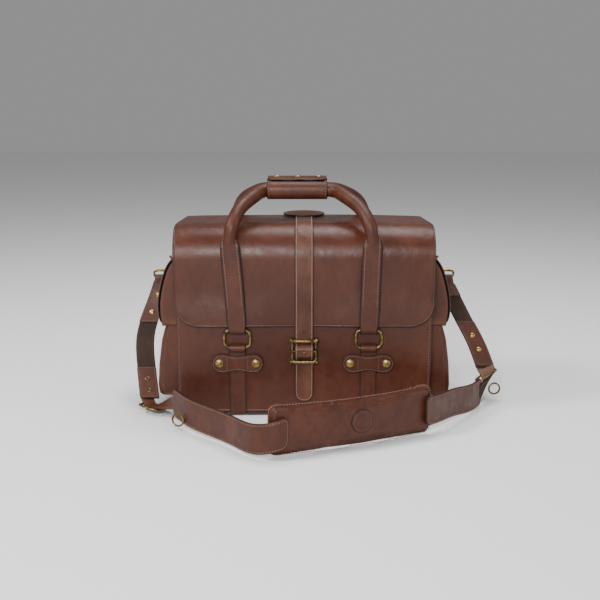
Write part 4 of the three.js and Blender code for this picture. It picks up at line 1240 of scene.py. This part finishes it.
# The pad's face as a surface: heights cast once on a coarse grid from outside, then read back between its
# points
padTree = BVHTree.FromObject(pad, bpy.context.evaluated_depsgraph_get())
gridS, gridA = np.linspace(2.5, padLength - 2.5, 90), np.linspace(-padHalf + 2.5, padHalf - 2.5, 34)
castS, castA = np.meshgrid(gridS, gridA, indexing="ij")
castFrom, castUp = padSurface(castS, castA), facing(padSurface, castS, castA)
starts, turns = ((castFrom + castUp * 30) * 0.001).reshape(-1, 3), castUp.reshape(-1, 3)
hits = [padTree.ray_cast(Vector(place), Vector(-turn))[3] for place, turn in zip(starts, turns)]
padRise = np.array([5.0 if hit is None else 30 - hit * 1000 for hit in hits]).reshape(castS.shape)


def padFace(s, a):
    s, a = np.asarray(s, float), np.asarray(a, float)
    i = np.clip(np.interp(s, gridS, np.arange(90)), 0, 88.999)
    j = np.clip(np.interp(a, gridA, np.arange(34)), 0, 32.999)
    k, m = i.astype(int), j.astype(int)
    u, v = i - k, j - m
    rise = (padRise[k, m] * (1 - u) * (1 - v) + padRise[k + 1, m] * u * (1 - v)
            + padRise[k, m + 1] * (1 - u) * v + padRise[k + 1, m + 1] * u * v)
    return padSurface(s, a) + facing(padSurface, s, a) * rise[..., None]


line, up = insetLine(padFace, padLength, padHalf, (padSize["corner"], padSize["corner"]), 3.6, 0.1)
makeStitches("padStitches", line, up, boldStitch, darkThread, "shoulder_strap")

# A round badge on the pad, with a milled ring and a plain petal device
badgeSize = {"radius": 18.5, "s": 151, "a": 1.5}


def badgeRelief(s, a):
    reach, angle = np.hypot(s - badgeSize["s"], a - badgeSize["a"]), np.arctan2(a - badgeSize["a"],
                                                                                s - badgeSize["s"])
    ring = -0.45 * np.exp(-(((reach - 11.2) / 0.5) ** 2))
    milled = 0.3 * (0.5 + 0.5 * np.cos(30 * angle)) * np.exp(-(((reach - 14.6) / 1.9) ** 2))
    petals = 0.4 / (1 + np.exp((reach - 7.2 * (1 + 0.3 * np.cos(6 * angle))) / 0.35))
    return ring + milled + petals


badgeTurn = np.linspace(0, 2 * math.pi, 120, endpoint=False)
badgeRim = badgeSize["radius"] * np.c_[np.cos(badgeTurn), np.sin(badgeTurn)] + (badgeSize["s"],
                                                                                badgeSize["a"])
makePlate("padBadge", badgeRim, lambda s, a: padFace(s, a) + facing(padSurface, s, a) * 0.5, 2.0,
          strapLeather, badgeRelief,
          crease={"at": 1.8, "deep": 0.3, "wide": 0.4}, body="shoulder_strap")
print("pad made")

# The stage: a pale floor, soft lights and the camera
floorSize = 6.0
floorMesh = bpy.data.meshes.new("floor")
floorMesh.from_pydata([(-floorSize, -floorSize, -0.0006), (floorSize, -floorSize, -0.0006),
                       (floorSize, floorSize, -0.0006),
                       (-floorSize, floorSize, -0.0006)], [], [(0, 1, 2, 3)])
floorMaterial, tree, shader = startMaterial("paleFloor")
shader.inputs["Base Color"].default_value = (0.86, 0.86, 0.86, 1)
shader.inputs["Roughness"].default_value = 0.9
floorMesh.materials.append(floorMaterial)
floor = bpy.data.objects.new("floor", floorMesh)
bpy.context.scene.collection.objects.link(floor)

lightSize = {"softbox": (-0.35, -2.5, 1.25, 60, 0.6), "key": (-1.5, -0.7, 1.7, 34, 0.5),
             "top": (0.2, 0.25, 1.9, 24, 0.9), "edge": (1.9, -0.5, 0.9, 10, 0.8)}
for name, (x, y, z, power, size) in lightSize.items():
    data = bpy.data.lights.new(name, "AREA")
    data.energy, data.size = power, size
    lamp = bpy.data.objects.new(name, data)
    lamp.location = (x, y, z)
    lamp.rotation_euler = (Vector((0, 0, 0.15)) - Vector((x, y, z))).to_track_quat("-Z", "Y").to_euler()
    bpy.context.scene.collection.objects.link(lamp)
world = bpy.data.worlds.new("studio")
world.use_nodes = True
world.node_tree.nodes["Background"].inputs["Color"].default_value = (1, 1, 1, 1)
world.node_tree.nodes["Background"].inputs["Strength"].default_value = 0.3
bpy.context.scene.world = world

cameraData = bpy.data.cameras.new("camera")
cameraData.lens, cameraData.sensor_width = 67.5, 36
camera = bpy.data.objects.new("camera", cameraData)
camera.location = (-0.0068, -1.9, 0.567)
camera.rotation_euler = (math.radians(90 - 11.6), 0, 0)
bpy.context.scene.collection.objects.link(camera)
bpy.context.scene.camera = camera
